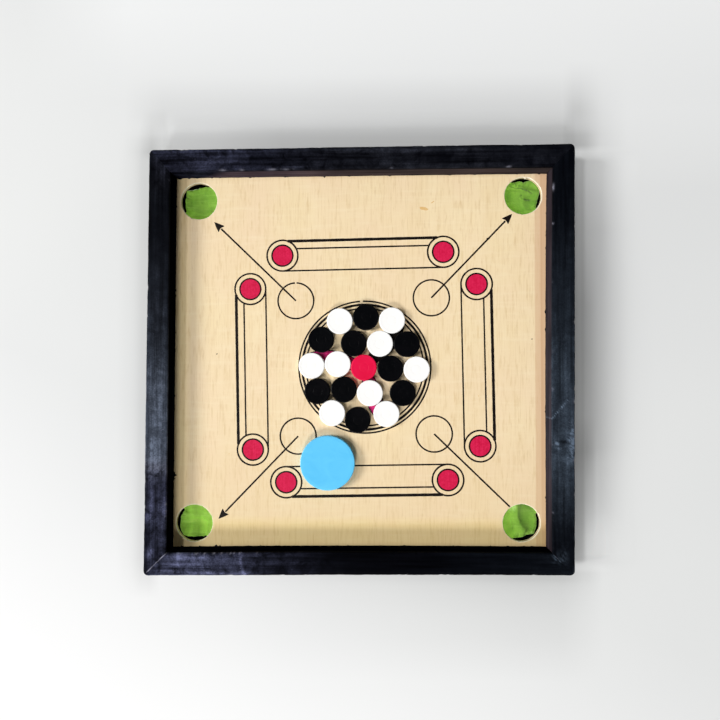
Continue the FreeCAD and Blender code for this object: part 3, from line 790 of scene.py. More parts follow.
# ------------------------------------------------------------------ playing sheet
HOLE_LEVELS = [SHEET_LOW, SHEET_LOW + .18, SHEET_LOW + 1, SHEET_TOP - 1, SHEET_TOP - .45,
               SURFACE - .14, SURFACE]
HOLE_SIDES = 168
RIM_PALE = {    # least and most broken back, middle of the palest arc, its half width (degrees)
    "back_left": (.25, .45, 130, 50), "back_right": (.15, 1, 20, 75),
    "front_left": (.3, .55, 235, 60), "front_right": (.25, .5, -10, 65)}


def rim_pale(tag, angle):
    """How far the lacquer is broken back to white wood round a hole."""
    base, peak, middle, half = RIM_PALE[tag]
    off = abs(wrap(math.degrees(angle) - middle))
    return base + (peak - base) * float(1 - smoothstep(half - 20, half + 20, off))


def drill(bm, raw, index, tag):
    """One furred and chipped hole; returns its collar on the face and its rim below."""
    cx, cy = POCKETS[tag]
    rs = np.random.RandomState(40 + index)
    chips = [(rs.uniform(0, 2 * math.pi), rs.uniform(.15, .55), rs.uniform(.02, .07))
             for _ in range(7)]
    angles = [2 * math.pi * j / HOLE_SIDES for j in range(HOLE_SIDES)]

    def add(r, angle, z, rawness):
        vert = bm.verts.new((cx + r * math.cos(angle), cy + r * math.sin(angle), z))
        vert[raw] = rawness
        return vert

    def off(angle, middle):
        return wrap(angle - middle, 2 * math.pi)

    rings = []
    last = len(HOLE_LEVELS) - 1
    for level, z in enumerate(HOLE_LEVELS):
        chipped = 0 if z < SHEET_TOP - 1.3 else .45 if z < SURFACE - .2 else 1
        ring = []
        for a in angles:
            r = (HOLE_R + .05 * round_wobble(a, 2, z, index + 2)
                 + .10 * round_wobble(a, 9, z * .4, index + 7))
            for middle, size, width in chips:
                r += size * bell(off(a, middle), 0, width) * chipped
            if level == last:
                r += .20 + .10 * round_wobble(a, 5, 1, index + 12)
            elif level == 0:
                r += .12
            if tag == "back_right" and level >= 3:         # a splinter left standing
                r -= .95 * bell(off(a, math.radians(82)), 0, .045)
            ring.append(add(r, a, z, .9 * rim_pale(tag, a) if level == last else 1))
        rings.append(ring)
    # a fine collar of veneer round the rim, so the sheen follows it
    rings.append([add(HOLE_R + .9 + .25 * round_wobble(a, 6, 2, index + 30), a, SURFACE, 0)
                  for a in angles])
    for level, (under, over) in enumerate(zip(rings[:-1], rings[1:])):
        for j in range(HOLE_SIDES):
            k = (j + 1) % HOLE_SIDES
            face = bm.faces.new((under[k], under[j], over[j], over[k]))
            face.material_index = 2 if level < last else 0
    return rings[-1], rings[0]


def sheet():
    """The ply sheet: flat faces filled round four drilled holes."""
    bm = bmesh.new()
    raw = bm.verts.layers.float.new("raw")
    rims_top, rims_low = zip(*(drill(bm, raw, k, tag) for k, tag in enumerate(POCKETS)))
    half, per_side = SHEET_HALF, 48
    side = [(-half + 2 * half * t / per_side, -half) for t in range(per_side)]
    outline = []
    for _ in range(4):
        outline += side
        side = [(-y, x) for x, y in side]
    top = [bm.verts.new((x, y, SURFACE)) for x, y in outline]
    low = [bm.verts.new((x, y, SHEET_LOW)) for x, y in outline]
    for j in range(len(outline)):
        k = (j + 1) % len(outline)
        bm.faces.new((low[j], low[k], top[k], top[j])).material_index = 2
    for material_index, loops in enumerate(((top, *rims_top), (low, *rims_low))):
        edges = []
        for loop in loops:
            for a, b in zip(loop, loop[1:] + loop[:1]):
                edges.append(bm.edges.get((a, b)) or bm.edges.new((a, b)))
        made = bmesh.ops.triangle_fill(bm, use_beauty=True, use_dissolve=False, edges=edges)
        for item in made["geom"]:
            if isinstance(item, bmesh.types.BMFace):
                item.material_index = material_index
    bmesh.ops.recalc_face_normals(bm, faces=bm.faces)
    for vert in bm.verts:
        vert.co *= MM
    mesh = bpy.data.meshes.new("sheet")
    bm.to_mesh(mesh)
    bm.free()
    for material in (PLY, PLY_BACK, PLY_EDGE):
        mesh.materials.append(material)
    ob = bpy.data.objects.new("sheet", mesh)
    SCENE.collection.objects.link(ob)
    shade_smooth(mesh)
    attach(ob, ROOT)
    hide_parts("play_board")
    face_outward(ob, sharp_degrees=32)


sheet()

# ------------------------------------------------------------------ printed pattern
PRINT_TURN, PRINT_X, PRINT_Y = math.radians(1.077), 4.44, -5.80     # the print sits askew


def placed(point):
    """From the print's own axes to the board's."""
    x, y = turned(point[0], point[1], PRINT_TURN)
    return PRINT_X + x, PRINT_Y + y


class Ink:
    """Thin closed solids of ink in one mesh; sunk is how far a top lies below SHEET_TOP."""

    def __init__(self):
        self.verts, self.faces = [], []

    def strip(self, centre, half, sunk, closed=False):
        points = [np.array(p, float) for p in centre]
        count, base = len(points), len(self.verts)
        halves = np.broadcast_to(half, count)
        for k in range(count):
            before = points[(k - 1) % count] if closed or k > 0 else points[k]
            after = points[(k + 1) % count] if closed or k < count - 1 else points[k]
            ahead = (after - before) / (np.linalg.norm(after - before) + 1e-12)
            aside = np.array((-ahead[1], ahead[0])) * halves[k]
            for corner in (points[k] + aside, points[k] - aside):
                x, y = placed(corner)
                self.verts += [(x, y, SHEET_TOP - sunk), (x, y, INK_LOW)]
        for k in range(count if closed else count - 1):
            a, b = base + 4 * k, base + 4 * ((k + 1) % count)
            self.faces += [(a, a + 2, b + 2, b), (a + 1, b + 1, b + 3, a + 3),
                           (a, b, b + 1, a + 1), (a + 2, a + 3, b + 3, b + 2)]
        if not closed:
            a, b = base, base + 4 * (count - 1)
            self.faces += [(a, a + 1, a + 3, a + 2), (b, b + 2, b + 3, b + 1)]

    def ring(self, cx, cy, r, width, steps, seed, sunk=0, span=None):
        """A whole ring, or the part of one over a span of degrees."""
        start, stop = span or (0, 360)
        angles = [math.radians(start + (stop - start) * k / steps)
                  for k in range(steps + 1 if span else steps)]
        points = [(cx + r * math.cos(a), cy + r * math.sin(a)) for a in angles]
        half = [width / 2 * (1 + .10 * wobble(x, y, 0, .35, seed)
                             + .05 * wobble(x, y, 0, 1.6, seed + 1)) for x, y in points]
        self.strip(points, half, sunk, closed=not span)

    def line(self, start, stop, width, sunk, seed):
        start, stop = np.array(start, float), np.array(stop, float)
        steps = max(2, int(np.linalg.norm(stop - start) / 1.2))
        points = [start + (stop - start) * k / steps for k in range(steps + 1)]
        half = [width / 2 * (1 + .10 * wobble(x, y, 0, .3, seed)
                             + .06 * wobble(x, y, 0, 1.5, seed + 1)) for x, y in points]
        self.strip(points, half, sunk)

    def blob(self, outline, sunk, printed=True):
        """A filled outline, in the print's axes or the board's."""
        base, count = len(self.verts), len(outline)
        points = [placed(p) if printed else p for p in outline]
        for z in (SHEET_TOP - sunk, INK_LOW):
            self.verts += [(x, y, z) for x, y in points]
        self.faces.append(tuple(base + k for k in range(count)))
        self.faces.append(tuple(base + count + k for k in reversed(range(count))))
        for k in range(count):
            j = (k + 1) % count
            self.faces.append((base + j, base + k, base + count + k, base + count + j))

    def make(self, name, material):
        ob = piece(name, self.verts, self.faces, material, smooth=False)
        face_outward(ob)
        return ob


def leaf(degrees, length, half):
    """A leaf from the centre, bounded by two arcs."""
    radius = ((length / 2) ** 2 + half ** 2) / (2 * half)
    reach = math.asin(length / 2 / radius)
    steps = 26
    side = []
    for k in range(steps):
        t = -reach + 2 * reach * k / steps
        y = radius * math.cos(t) - (radius - half)
        side.append((length / 2 + radius * math.sin(t), max(y, .02)))
    points = side + [(length - x, -y) for x, y in side]
    return [turned(x, y, math.radians(degrees)) for x, y in points]


def centre_print(black, magenta):
    """Three rings, the outer broken at its head, round three leaves."""
    black.ring(0, 0, 48.6, 1.2, steps=260, seed=1, span=(93, 450.5))
    black.ring(0, 0, 46.05, 1.75, steps=260, seed=2)
    black.ring(0, 0, 43.3, 1.12, steps=240, seed=3)
    black.blob(leaf(45, length=42.6, half=6.6), sunk=.008)
    for degrees in (165, 285):
        outline = leaf(degrees, length=42.4, half=6.3)
        magenta.blob(outline, sunk=.012)
        black.strip(outline, .38, sunk=.004, closed=True)


def base_strips(black, red):
    """Four base strips: three lines between rings with red spots."""
    ring_r, spot_r, ring_apart, meet_r = 11.45, 7.5, 59.5, 11.42
    for k, (ax, ay) in enumerate(((1, 0), (0, 1), (-1, 0), (0, -1))):
        out, across = np.array((ax, ay), float), np.array((-ay, ax), float)
        away = 83.45 if k == 0 else 83.85
        for end in (1, -1):
            cx, cy = out * away + across * ring_apart * end
            black.ring(cx, cy, ring_r, 1.25, steps=110, seed=5 + k * 2 + end)
            black.ring(cx, cy, 7.8, 1.15, steps=90, seed=15 + k * 2 + end, sunk=.003)
            spot = []
            for a in round_angles(84):
                r = spot_r + .05 * round_wobble(a, 3, cx, 3 + k + end)
                spot.append((cx + r * math.cos(a), cy + r * math.sin(a)))
            red.blob(spot, sunk=.010)
        for off, width in ((10.65, 2.15), (4.95, 1.15), (-ring_r, 1.15)):
            # the lines stop at the rings
            reach = ring_apart - math.sqrt(max(meet_r ** 2 - off ** 2, 0))
            middle = out * (away + off)
            black.line(middle - across * reach, middle + across * reach, width,
                       sunk=.002 + .0005 * k, seed=30 + k)


def corner_arrows(black):
    """A circle and an outward arrow in each corner."""
    circle, shaft = 50.07, 1.25
    flank = [(-3.4, 1.7), (-7.2, 3.15), (-7.35, 2.7), (-6.6, .6)]    # ahead of the tip, aside
    head = [(.3, 0)] + flank + [(ahead, -aside) for ahead, aside in reversed(flank)]
    for k, (sx, sy) in enumerate(((1, 1), (-1, 1), (-1, -1), (1, -1))):
        cx, cy = circle * sx, circle * sy
        black.ring(cx, cy, 13.25, 1.18, steps=120, seed=40 + k, span=(92, 447) if k == 1 else None)
        if k == 3:
            # this arrow runs into the pocket, which was drilled through its head
            hole_x, hole_y = POCKETS["front_right"]
            end = 50.0
            while True:
                x, y = placed((end * sx, end * sy))
                if math.hypot(x - hole_x, y - hole_y) < HOLE_R + .75 or end > 120:
                    break
                end += .05
            black.line((cx, cy), (end * sx, end * sy), shaft, sunk=.004, seed=50 + k)
        else:
            tip = 110 if sx < 0 else 110.5
            black.line((cx, cy), ((tip - 5) * sx, (tip - 5) * sy), shaft, sunk=.004, seed=50 + k)
            out = np.array((sx, sy), float) / math.sqrt(2)
            across = np.array((-out[1], out[0]))
            point = np.array((tip * sx, tip * sy))
            black.blob([point + out * ahead + across * aside for ahead, aside in head],
                       sunk=.001)
    # a blot on the back right arrow
    blot = 92.7
    black.blob([(blot + (1.15 + .3 * math.sin(3 * t)) * math.cos(t),
                 blot + (.85 + .2 * math.cos(2 * t)) * math.sin(t)) for t in round_angles(20)],
               sunk=.0045)


def printed_pattern():
    black, red, magenta = Ink(), Ink(), Ink()
    centre_print(black, magenta)
    base_strips(black, red)
    corner_arrows(black)
    black.make("print_black", INK_BLACK)
    red.make("print_red_spots", INK_RED)
    magenta.make("print_magenta_leaves", INK_MAGENTA)


def veneer_flecks():
    """Natural flecks in the veneer."""
    pale, dark = Ink(), Ink()
    flecks = (      # ink, x, y, half length, half width, turn in radians
        (pale, 47.9, 111.3, 3.4, 1.15, -.22), (pale, 54.6, 116, 1.5, .4, .6),
        (dark, 127, 14.7, .55, .35, .2), (dark, -105.3, 3.9, .55, .4, 1),
        (pale, -96, -70, .5, .3, .3), (pale, 88, -27, .45, .3, .9))
    for seed, (ink, x, y, half_length, half_width, turn) in enumerate(flecks, 1):
        outline = []
        for t in round_angles(26):
            size = 1 + .28 * round_wobble(t, 2, seed * 2, seed)
            dx, dy = turned(half_length * math.cos(t) * size,
                            half_width * math.sin(t) * size, turn)
            outline.append((x + dx, y + dy))
        ink.blob(outline, sunk=INK_HEIGHT - .006, printed=False)
    pale.make("veneer_flecks", SPECK)
    dark.make("veneer_flecks_dark", SPECK_DARK)


printed_pattern()
veneer_flecks()


# ------------------------------------------------------------------ paint run along the walls
def paint_lines():
    """Where the sheet meets the walls the frame's paint has crept on to it."""
    ink = Ink()
    rs = np.random.RandomState(5)
    large_drips = {     # by wall from the front, counterclockwise: place, reach, width
        0: [(-130.3, .6, .4), (-105.2, 1.2, 1.3), (-102.5, .8, .8), (-117, .5, .8)],
        2: [(134, .9, 2.6), (127, .7, 1.5), (25.4, 1.2, .8), (-131, .5, 1)],
        3: [(86, 2.3, 1.5), (84.2, 1.2, .8), (88.5, 1.3, .9)]}
    stations = np.arange(-INNER - .3, INNER + .35, .5)
    under_wall = -INNER - .35
    for side in range(4):
        drips = [(rs.uniform(-130, 130), rs.uniform(.15, .5), rs.uniform(.5, 1.6))
                 for _ in range(16)] + large_drips.get(side, [])
        base = len(ink.verts)
        for x in stations:
            width = .16 + .10 * sum(.5 ** k * wobble(x, side * 7, 0, .12 * 2 ** k,
                                                     3 + side + k * 1.7) for k in range(3))
            width += sum(reach * bell(x, drip_x, drip_width * .6)
                         for drip_x, reach, drip_width in drips)
            rim = -INNER + max(.05, width)
            for y, z in ((under_wall, SURFACE + .02), (rim, SURFACE + .008),
                         (rim, INK_LOW), (under_wall, INK_LOW)):
                ink.verts.append((*turned(x, y, side * math.pi / 2), z))
        end = base + 4 * (len(stations) - 1)
        ink.faces += bridge(base, len(stations), 4)
        ink.faces += [(base, base + 3, base + 2, base + 1), (end, end + 1, end + 2, end + 3)]
    ink.verts = out_of_true(ink.verts)
    ink.make("paint_creep", PAINT_CREEP)


paint_lines()

# ------------------------------------------------------------------ pouches
POUCH_R = 18.7                      # the cloth's edge where it is tucked under the sheet
POUCH_RINGS, POUCH_SIDES = 34, 112
SIM_SCALE = 50.0                    # the cloth is simulated this many times life size


def edge_radius(theta, points):
    """The cloth's edge radius by angle: tucked in, or hanging short along the points."""
    blend = 7                                              # degrees
    angles = np.degrees(np.arctan2(points[:, 1], points[:, 0]))
    radii = np.hypot(points[:, 0], points[:, 1])
    rel = wrap(angles - angles[0])
    if rel[-1] < 0:
        rel = np.where(rel < 0, rel + 360, rel)
    at = np.mod(np.degrees(theta) - angles[0] + 60, 360) - 60
    start, stop = rel[0] - blend, rel[-1] + blend
    cut = np.interp(at, [start, *rel, stop], [POUCH_R, *radii, POUCH_R])
    return np.where((at > start) & (at < stop), cut, POUCH_R)


def crease(co, points, height, left_width, right_width):
    """A rise or fall along a line, with its own width on either side."""
    points = np.array(points, float)
    nearest = np.full(len(co), 1e9)
    side = np.ones(len(co))
    for a, b in zip(points[:-1], points[1:]):
        ab = b - a
        t = np.clip(((co[:, :2] - a) @ ab) / (ab @ ab), 0, 1)
        foot = a + t[:, None] * ab
        away = np.hypot(co[:, 0] - foot[:, 0], co[:, 1] - foot[:, 1])
        cross = ab[0] * (co[:, 1] - a[1]) - ab[1] * (co[:, 0] - a[0])
        side = np.where(away < nearest, np.sign(cross), side)
        nearest = np.minimum(nearest, away)
    width = np.where(side > 0, left_width, right_width)
    return height * np.exp(-(nearest / width) ** 1.4)


def painted_light_fill(co, cx, cy):
    """Painted light and shade, as a colour gain and a glow: palest deep in the pocket and under
    the walls, where the lamps are blocked.
    """
    total = np.zeros(len(co))
    samples = 12
    for _, azimuth, elevation, radius, _, share in LAMPS:
        for k in range(samples):
            t, away = k * 2.39996, math.sqrt((k + .5) / samples) * radius
            az = math.radians(azimuth + away * math.cos(t) / math.cos(math.radians(elevation)))
            el = math.radians(elevation + away * math.sin(t))
            lit = np.ones(len(co))
            for z in (SHEET_LOW, SHEET_TOP):
                run = np.maximum(z - co[:, 2], 0) / math.tan(el)
                off = np.hypot(co[:, 0] + run * math.cos(az) - cx,
                               co[:, 1] + run * math.sin(az) - cy)
                lit *= 1 - smoothstep(HOLE_R - .6, HOLE_R + .6, off)
            run = (FRAME_TOP - co[:, 2]) / math.tan(el)
            for place in (co[:, 0] + run * math.cos(az), co[:, 1] + run * math.sin(az)):
                lit *= 1 - smoothstep(INNER - .8, INNER + .8, -place)
            total += share * lit / samples
    lit = total + .08
    painted_light_gain = np.clip((lit / .62) ** -.72, .72, 1.7)
    return painted_light_gain, np.clip(.56 - painted_light_gain * lit, 0, .5) / painted_light_gain


def cloth_disc(seed):
    """The flat patch, already dipping a little in the middle."""
    verts, faces = [(0.0, 0.0, 0.0)], []
    for i in range(1, POUCH_RINGS + 1):
        r = POUCH_R * (i / POUCH_RINGS)
        dip = -1.2 * float(1 - smoothstep(5, 14.2, r))
        for j in range(POUCH_SIDES):
            a = 2 * math.pi * j / POUCH_SIDES
            x, y = r * math.cos(a), r * math.sin(a)
            verts.append((x, y, dip + .12 * wobble(x, y, 0, .35, seed) * float(r < 14)))
    for j in range(POUCH_SIDES):
        faces.append((0, 1 + j, 1 + (j + 1) % POUCH_SIDES))
    faces += [(a, d, c, b) for a, b, c, d in bridge(1, POUCH_RINGS, POUCH_SIDES)]
    return np.array(verts), faces


def sagged(ob, radius, shrink):
    """The patch pinned at its rim and let sag, simulated."""
    pin = ob.vertex_groups.new(name="pin")
    pin.add([int(k) for k in np.nonzero(radius >= 14.9)[0]], 1.0, "REPLACE")
    cloth = ob.modifiers.new("cloth", "CLOTH")
    settings = cloth.settings
    settings.quality = 6
    settings.mass = .25
    settings.tension_stiffness = settings.compression_stiffness = 14
    settings.shear_stiffness = 7
    settings.bending_stiffness = .3
    settings.air_damping = 2
    settings.vertex_group_mass = "pin"
    settings.shrink_min = settings.shrink_max = -shrink
    cloth.collision_settings.use_collision = False
    cloth.point_cache.frame_start, cloth.point_cache.frame_end = 1, 44
    for step in range(1, 45):
        SCENE.frame_set(step)
    done = evaluated_mesh(ob)
    co = np.zeros(len(done.vertices) * 3, np.float32)
    done.vertices.foreach_get("co", co)
    ob.modifiers.clear()
    ob.vertex_groups.clear()
    bpy.data.meshes.remove(done)
    SCENE.frame_set(1)
    return co.reshape(-1, 3).astype(float) / (MM * SIM_SCALE)


def shade_sheet(tag, seed, edge):
    """A dark sheet behind the short edge, painted shade that shows as a black crescent in the
    hole.
    """
    cx, cy = POCKETS[tag]
    angles = np.unwrap(np.arctan2(edge[:, 1], edge[:, 0]))
    start, stop = min(angles[0], angles[-1]) - .45, max(angles[0], angles[-1]) + .45
    section = [(19.3, 8.72), (18.2, 8.55), (17, 7.6), (15.8, 5.6), (14.4, 3.6), (12.4, 2.2),
               (10, 1.45), (7.5, 1.15)]                    # radius, height
    steps, verts = 72, []
    for i in range(steps + 1):
        a = start + (stop - start) * i / steps
        for r, z in section:
            pucker = .25 * round_wobble(a, 7, r * .3, seed + 4)
            verts.append((cx + (r + pucker) * math.cos(a), cy + (r + pucker) * math.sin(a),
                          min(max(z + pucker * .6, .95), 8.75)))
    faces = bridge(0, steps + 1, len(section), closed=False)
    thicken(piece("pouch_shade_sheet_" + tag, verts, faces, SHADE_SHEET), .30)


def pouch(tag, seed, edge, shrink, depth, creases, painted_shade_bands, pale=(), hem_range=None, painted_light_lift=0.0,
          painted_light_tone=1.0, cut=.93, painted_light_slope=0.0):
    """A patch of cloth held under the sheet and let sag; its short edge hangs.

    Points are from the pocket's middle. edge is the short edge, drawn in by cut; creases and
    painted_shade_bands are (points, amount, left width, right width) in height and in painted
    shade and light along the folds; pale spots are (x, y, radius, strength), painted highlights
    and pale threads; hem_range is a middle and half width in degrees; painted_light_slope
    changes the painted brightness along x, and painted_light_tone and painted_light_lift
    brighten the whole pouch as painted light.
    """
    cx, cy = POCKETS[tag]
    drift = .0135                   # the edge moves outward by this share of the pocket's place
    edge = np.array([(x * cut + cx * drift, y * cut + cy * drift) for x, y in edge])
    rest, faces = cloth_disc(seed)
    radius, theta = np.hypot(rest[:, 0], rest[:, 1]), np.arctan2(rest[:, 1], rest[:, 0])
    mesh = bpy.data.meshes.new("pouch_" + tag)
    mesh.from_pydata([tuple(c * MM * SIM_SCALE for c in v) for v in rest], [], faces)
    ob = bpy.data.objects.new("pouch_" + tag, mesh)
    SCENE.collection.objects.link(ob)
    co = sagged(ob, radius, shrink)
    # bring the sag to the depth the pouch has, keeping its folds
    low = -np.percentile(co[:, 2], 2)
    if low > .5:
        co[:, 2] *= depth / low
    for fold in creases:
        fade = 1 - smoothstep(12.6, 14.6, np.hypot(co[:, 0], co[:, 1]))
        co[:, 2] += crease(co, *fold) * fade
    # the cut edge: draw the cloth in towards it and let it droop
    edge_r = edge_radius(theta, edge) + .22 * ripple(np.cos(theta) * 30, np.sin(theta) * 30,
                                                     seed=seed + 3)
    r, angle = np.hypot(co[:, 0], co[:, 1]), np.arctan2(co[:, 1], co[:, 0])
    still = 7
    drawn = still + (r - still) * (edge_r - still) / (POUCH_R - still)
    co[:, :2] *= np.where(r > still, drawn / np.maximum(r, 1e-6), 1)[:, None]
    free = np.clip((POUCH_R - edge_r) / 6, 0, 1)
    hang = free * smoothstep(8, POUCH_R, r)
    cos, sin = np.cos(angle), np.sin(angle)
    co[:, 2] -= hang * (1.1 + .6 * ripple(cos * 6, sin * 6, seed=seed + 8))
    co[:, 2] += hang * .35 * ripple(cos * 22, sin * 22, seed=seed + 5)
    top = SHEET_LOW - .42
    co[:, 2] = np.clip(co[:, 2] + top, 1.1, top)
    local = co.copy()
    co[:, :2] += (cx, cy)
    mesh.vertices.foreach_set("co", (co * MM).astype(np.float32).ravel())

    hem = smoothstep(POUCH_R - 1.6, POUCH_R - .6, radius) * free
    if hem_range:
        hem = hem * (np.abs(wrap(np.degrees(theta) - hem_range[0])) < hem_range[1])
    else:
        hem = hem * .12
    highlight_and_thread_spots = np.zeros(len(co))
    # pale spots: painted highlights, and pale threads
    for x, y, size, strength in pale:
        away = (local[:, 0] - x) ** 2 + (local[:, 1] - y) ** 2
        highlight_and_thread_spots = np.maximum(highlight_and_thread_spots, strength * np.exp(-away / size ** 2))
    painted_light_gain, painted_glow = painted_light_fill(co, cx, cy)
    # painted light and shade: a slope along x, the pouch's tone, and bands along the folds
    shade = np.clip(1 + painted_light_slope * local[:, 0], .6, 1.3) * painted_light_tone
    for band in painted_shade_bands:
        shade *= 1 + crease(local, *band)
    add_attributes(mesh, {"hem": hem, "pale": highlight_and_thread_spots, "painted_light_lift": np.full(len(co), painted_light_lift),
                          "painted_light_gain": painted_light_gain * shade, "painted_glow": painted_glow})
    mesh.materials.append(CLOTH)
    shade_smooth(mesh)
    thicken(ob, .40)
    ob.data.name = "pouch_" + tag
    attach(ob, ROOT)
    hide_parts("pocket_net_" + tag)
    shade_sheet(tag, seed, edge)


pouch("back_left", seed=1, shrink=.07, depth=2.4, hem_range=(116, 22), painted_light_lift=.10, painted_light_slope=.014,
      edge=[(8.4, 10.9), (6.8, 11.6), (3, 10.6), (-1, 9.7), (-6, 8.7), (-9.7, 8.3), (-10.2, 5),
            (-10.6, 2), (-10.8, -2), (-10.6, -5.5), (-9.9, -9)],
      creases=[([(4.5, 9), (6.5, 0), (5.5, -8)], .5, 4, 3), ([(-3, 6), (-2, -4)], -.35, 3, 3)],
      painted_shade_bands=[([(-11, 6), (-11, -7)], -.22, 2, 2), ([(-6, -10.5), (6, -10.5)], -.18, 1.4, 1.4),
             ([(8.5, -6.5), (8.7, -6.7)], -.3, .7, .7),
             ([(-6.7, -5.6), (-6.9, -5.4)], -.25, .5, .5), ([(-2, 3), (2, -3)], -.08, 3, 3)])
pouch("back_right", seed=2, shrink=.12, depth=3, cut=.975, painted_light_tone=1.12,
      edge=[(9.4, -9.8), (9.6, -7.2), (10.2, -4.2), (11.1, -1), (11.8, 2), (12.3, 5.6),
            (10.6, 8.7), (7.6, 11.2), (4.1, 11.5), (2, 10.9), (0, 9.6), (-1.2, 10.4),
            (-2.6, 10.8), (-5.7, 10.7), (-8.8, 9.4)],
      creases=[([(-10, 7.2), (-4, 7.4), (0, 6.8), (5.5, 4.6)], .9, .9, 1.8),
               ([(-1.5, 8.8), (3.5, 7.4), (9.5, 4.8)], -1, 1, 1.3),
               ([(3.4, -.9), (6.6, -1.1)], -1.1, .55, .55), ([(.6, 2.3), (.8, 2.5)], -.8, .6, .6),
               ([(2, 1), (1.5, -5), (4.5, -10)], .5, 2.2, 2.8)],
      painted_shade_bands=[([(-1.5, 9.2), (3.5, 7.6), (11, 5.2)], -.42, 1, 1),
             ([(-10.5, 7.6), (-4, 7.9), (2, 6.8)], .26, 1, 1),
             ([(-11.5, 5.4), (-4, 5.5), (4, 4.4)], -.24, .9, .9), ([(3, 1), (9, -3)], -.18, 4, 3),
             ([(-8, 0), (-3.5, -8.5)], .20, 5, 4.5), ([(6.5, 9), (10.5, 4)], -.22, 3, 3),
             ([(2.6, -.6), (6.9, -1.1)], -.5, .6, .6), ([(.5, 2.4), (.7, 2.6)], -.45, .8, .8),
             ([(-9.2, 9.4), (-6.5, 9.8)], -.3, .9, .9)])
pouch("front_left", seed=3, shrink=.06, depth=2, painted_light_lift=.18, painted_light_slope=.008,
      edge=[(-7.2, 10.8), (-9.4, 8.2), (-10.5, 6), (-11, 2.2), (-11, -2.5), (-10.5, -6),
            (-8.4, -9.2), (-7.7, -9.4), (-3, -10.4), (1.7, -10.4), (5.2, -9.9), (8.3, -10),
            (9.6, -8.9)],
      creases=[([(-3, 9), (-3.5, -8)], -.4, 3, 4), ([(6, 8), (6.5, -6)], .4, 3, 3)],
      painted_shade_bands=[([(-10, 7), (-11, 0), (-10, -7)], -.34, 2.2, 2.2), ([(5, 4), (7, -8)], .14, 3, 3),
             ([(-8, -9.2), (6, -9.8)], -.22, 1.2, 1.2), ([(-6, 6), (-3, -6)], -.08, 3, 3)])
pouch("front_right", seed=4, shrink=.11, depth=2.8, painted_light_lift=.1, painted_light_tone=1.12, cut=.95,
      edge=[(-7, -11), (-5.3, -11.1), (-.6, -10.6), (3.4, -8.9), (6.9, -8), (8.9, -8),
            (10.2, -4.6), (11, -.8), (10.9, 4.1), (10.4, 7.6)],
      creases=[([(-2, 12.5), (-1.8, 3), (0, -1.5), (4, -7)], 1.5, 2.4, 6.5),
               ([(-10, -1), (-4, -4), (-6, -9)], -.4, 3, 2)],
      pale=[(-4.9, 10.9, 1.9, .95), (-4.6, 8.9, 1.2, .5), (-7, 9, 1.3, .5), (8.2, -8, .5, .9),
            (8.5, -9, .4, .8)],
      painted_shade_bands=[([(-1.6, 12), (-1.2, 4), (.2, -1.5), (4, -7.5)], -.20, 7, .8),
             ([(4.5, 9), (7.5, 1), (6, -6)], -.20, 3.6, 4), ([(-7, 4), (-5, -8)], .16, 4, 4),
             ([(0, 12.8), (6, 11), (10.5, 6)], -.3, 1.3, 1.3),
             ([(-9.5, 8.5), (-11.5, 4)], -.2, 1.2, 1.2)])


# ------------------------------------------------------------------ turned discs
def lathe(node, profile, material, slot, sides, turn=0.0):
    """Revolve a (radius, height) profile about a disc's own axis."""
    cx, cy, bottom_z = centre_mm(node)
    verts, faces = [], []
    per_side = len(profile) - 2
    bottom, top = sides * per_side, sides * per_side + 1
    for j in range(sides):
        angle = 2 * math.pi * j / sides + turn
        verts += [(cx + r * math.cos(angle), cy + r * math.sin(angle), bottom_z + z)
                  for r, z in profile[1:-1]]
        a, b = j * per_side, ((j + 1) % sides) * per_side
        faces += [(a + i, b + i, b + i + 1, a + i + 1) for i in range(per_side - 1)]
        faces += [(bottom, b, a), (top, a + per_side - 1, b + per_side - 1)]
    verts += [(cx, cy, bottom_z + profile[0][1]), (cx, cy, bottom_z + profile[-1][1])]
    ob = piece("disc_" + node, verts, faces, material, body=node, replaces=node)
    face_outward(ob, sharp_degrees=50)


def rounded(outline, steps):
    """Round the corners of an open outline of (radius, height, rounding) points."""
    points = [np.array(row[:2], float) for row in outline]
    out = [tuple(points[0])]
    for before, here, after, row in zip(points, points[1:], points[2:], outline[1:]):
        rounding = row[2]
        if rounding <= 0:
            out.append(tuple(here))
            continue
        a, b = before - here, after - here
        length_a, length_b = np.linalg.norm(a), np.linalg.norm(b)
        a, b = a / length_a, b / length_b
        half = math.acos(max(-1, min(1, float(a @ b)))) / 2
        cut = min(rounding / math.tan(half), length_a * .49, length_b * .49)
        start, stop = here + a * cut, here + b * cut
        for i in range(steps + 1):
            t = i / steps
            out.append(tuple(start * (1 - t) ** 2 + here * 2 * t * (1 - t) + stop * t * t))
    out.append(tuple(points[-1]))
    return out


def disc_profile(lower, girth, thickness, relief, steps):
    """Mirror the lower half for the upper, its heights scaled by relief."""
    upper = [(r, thickness - z * relief, rounding) for r, z, rounding in reversed(lower)]
    return rounded(lower + girth + upper, steps)


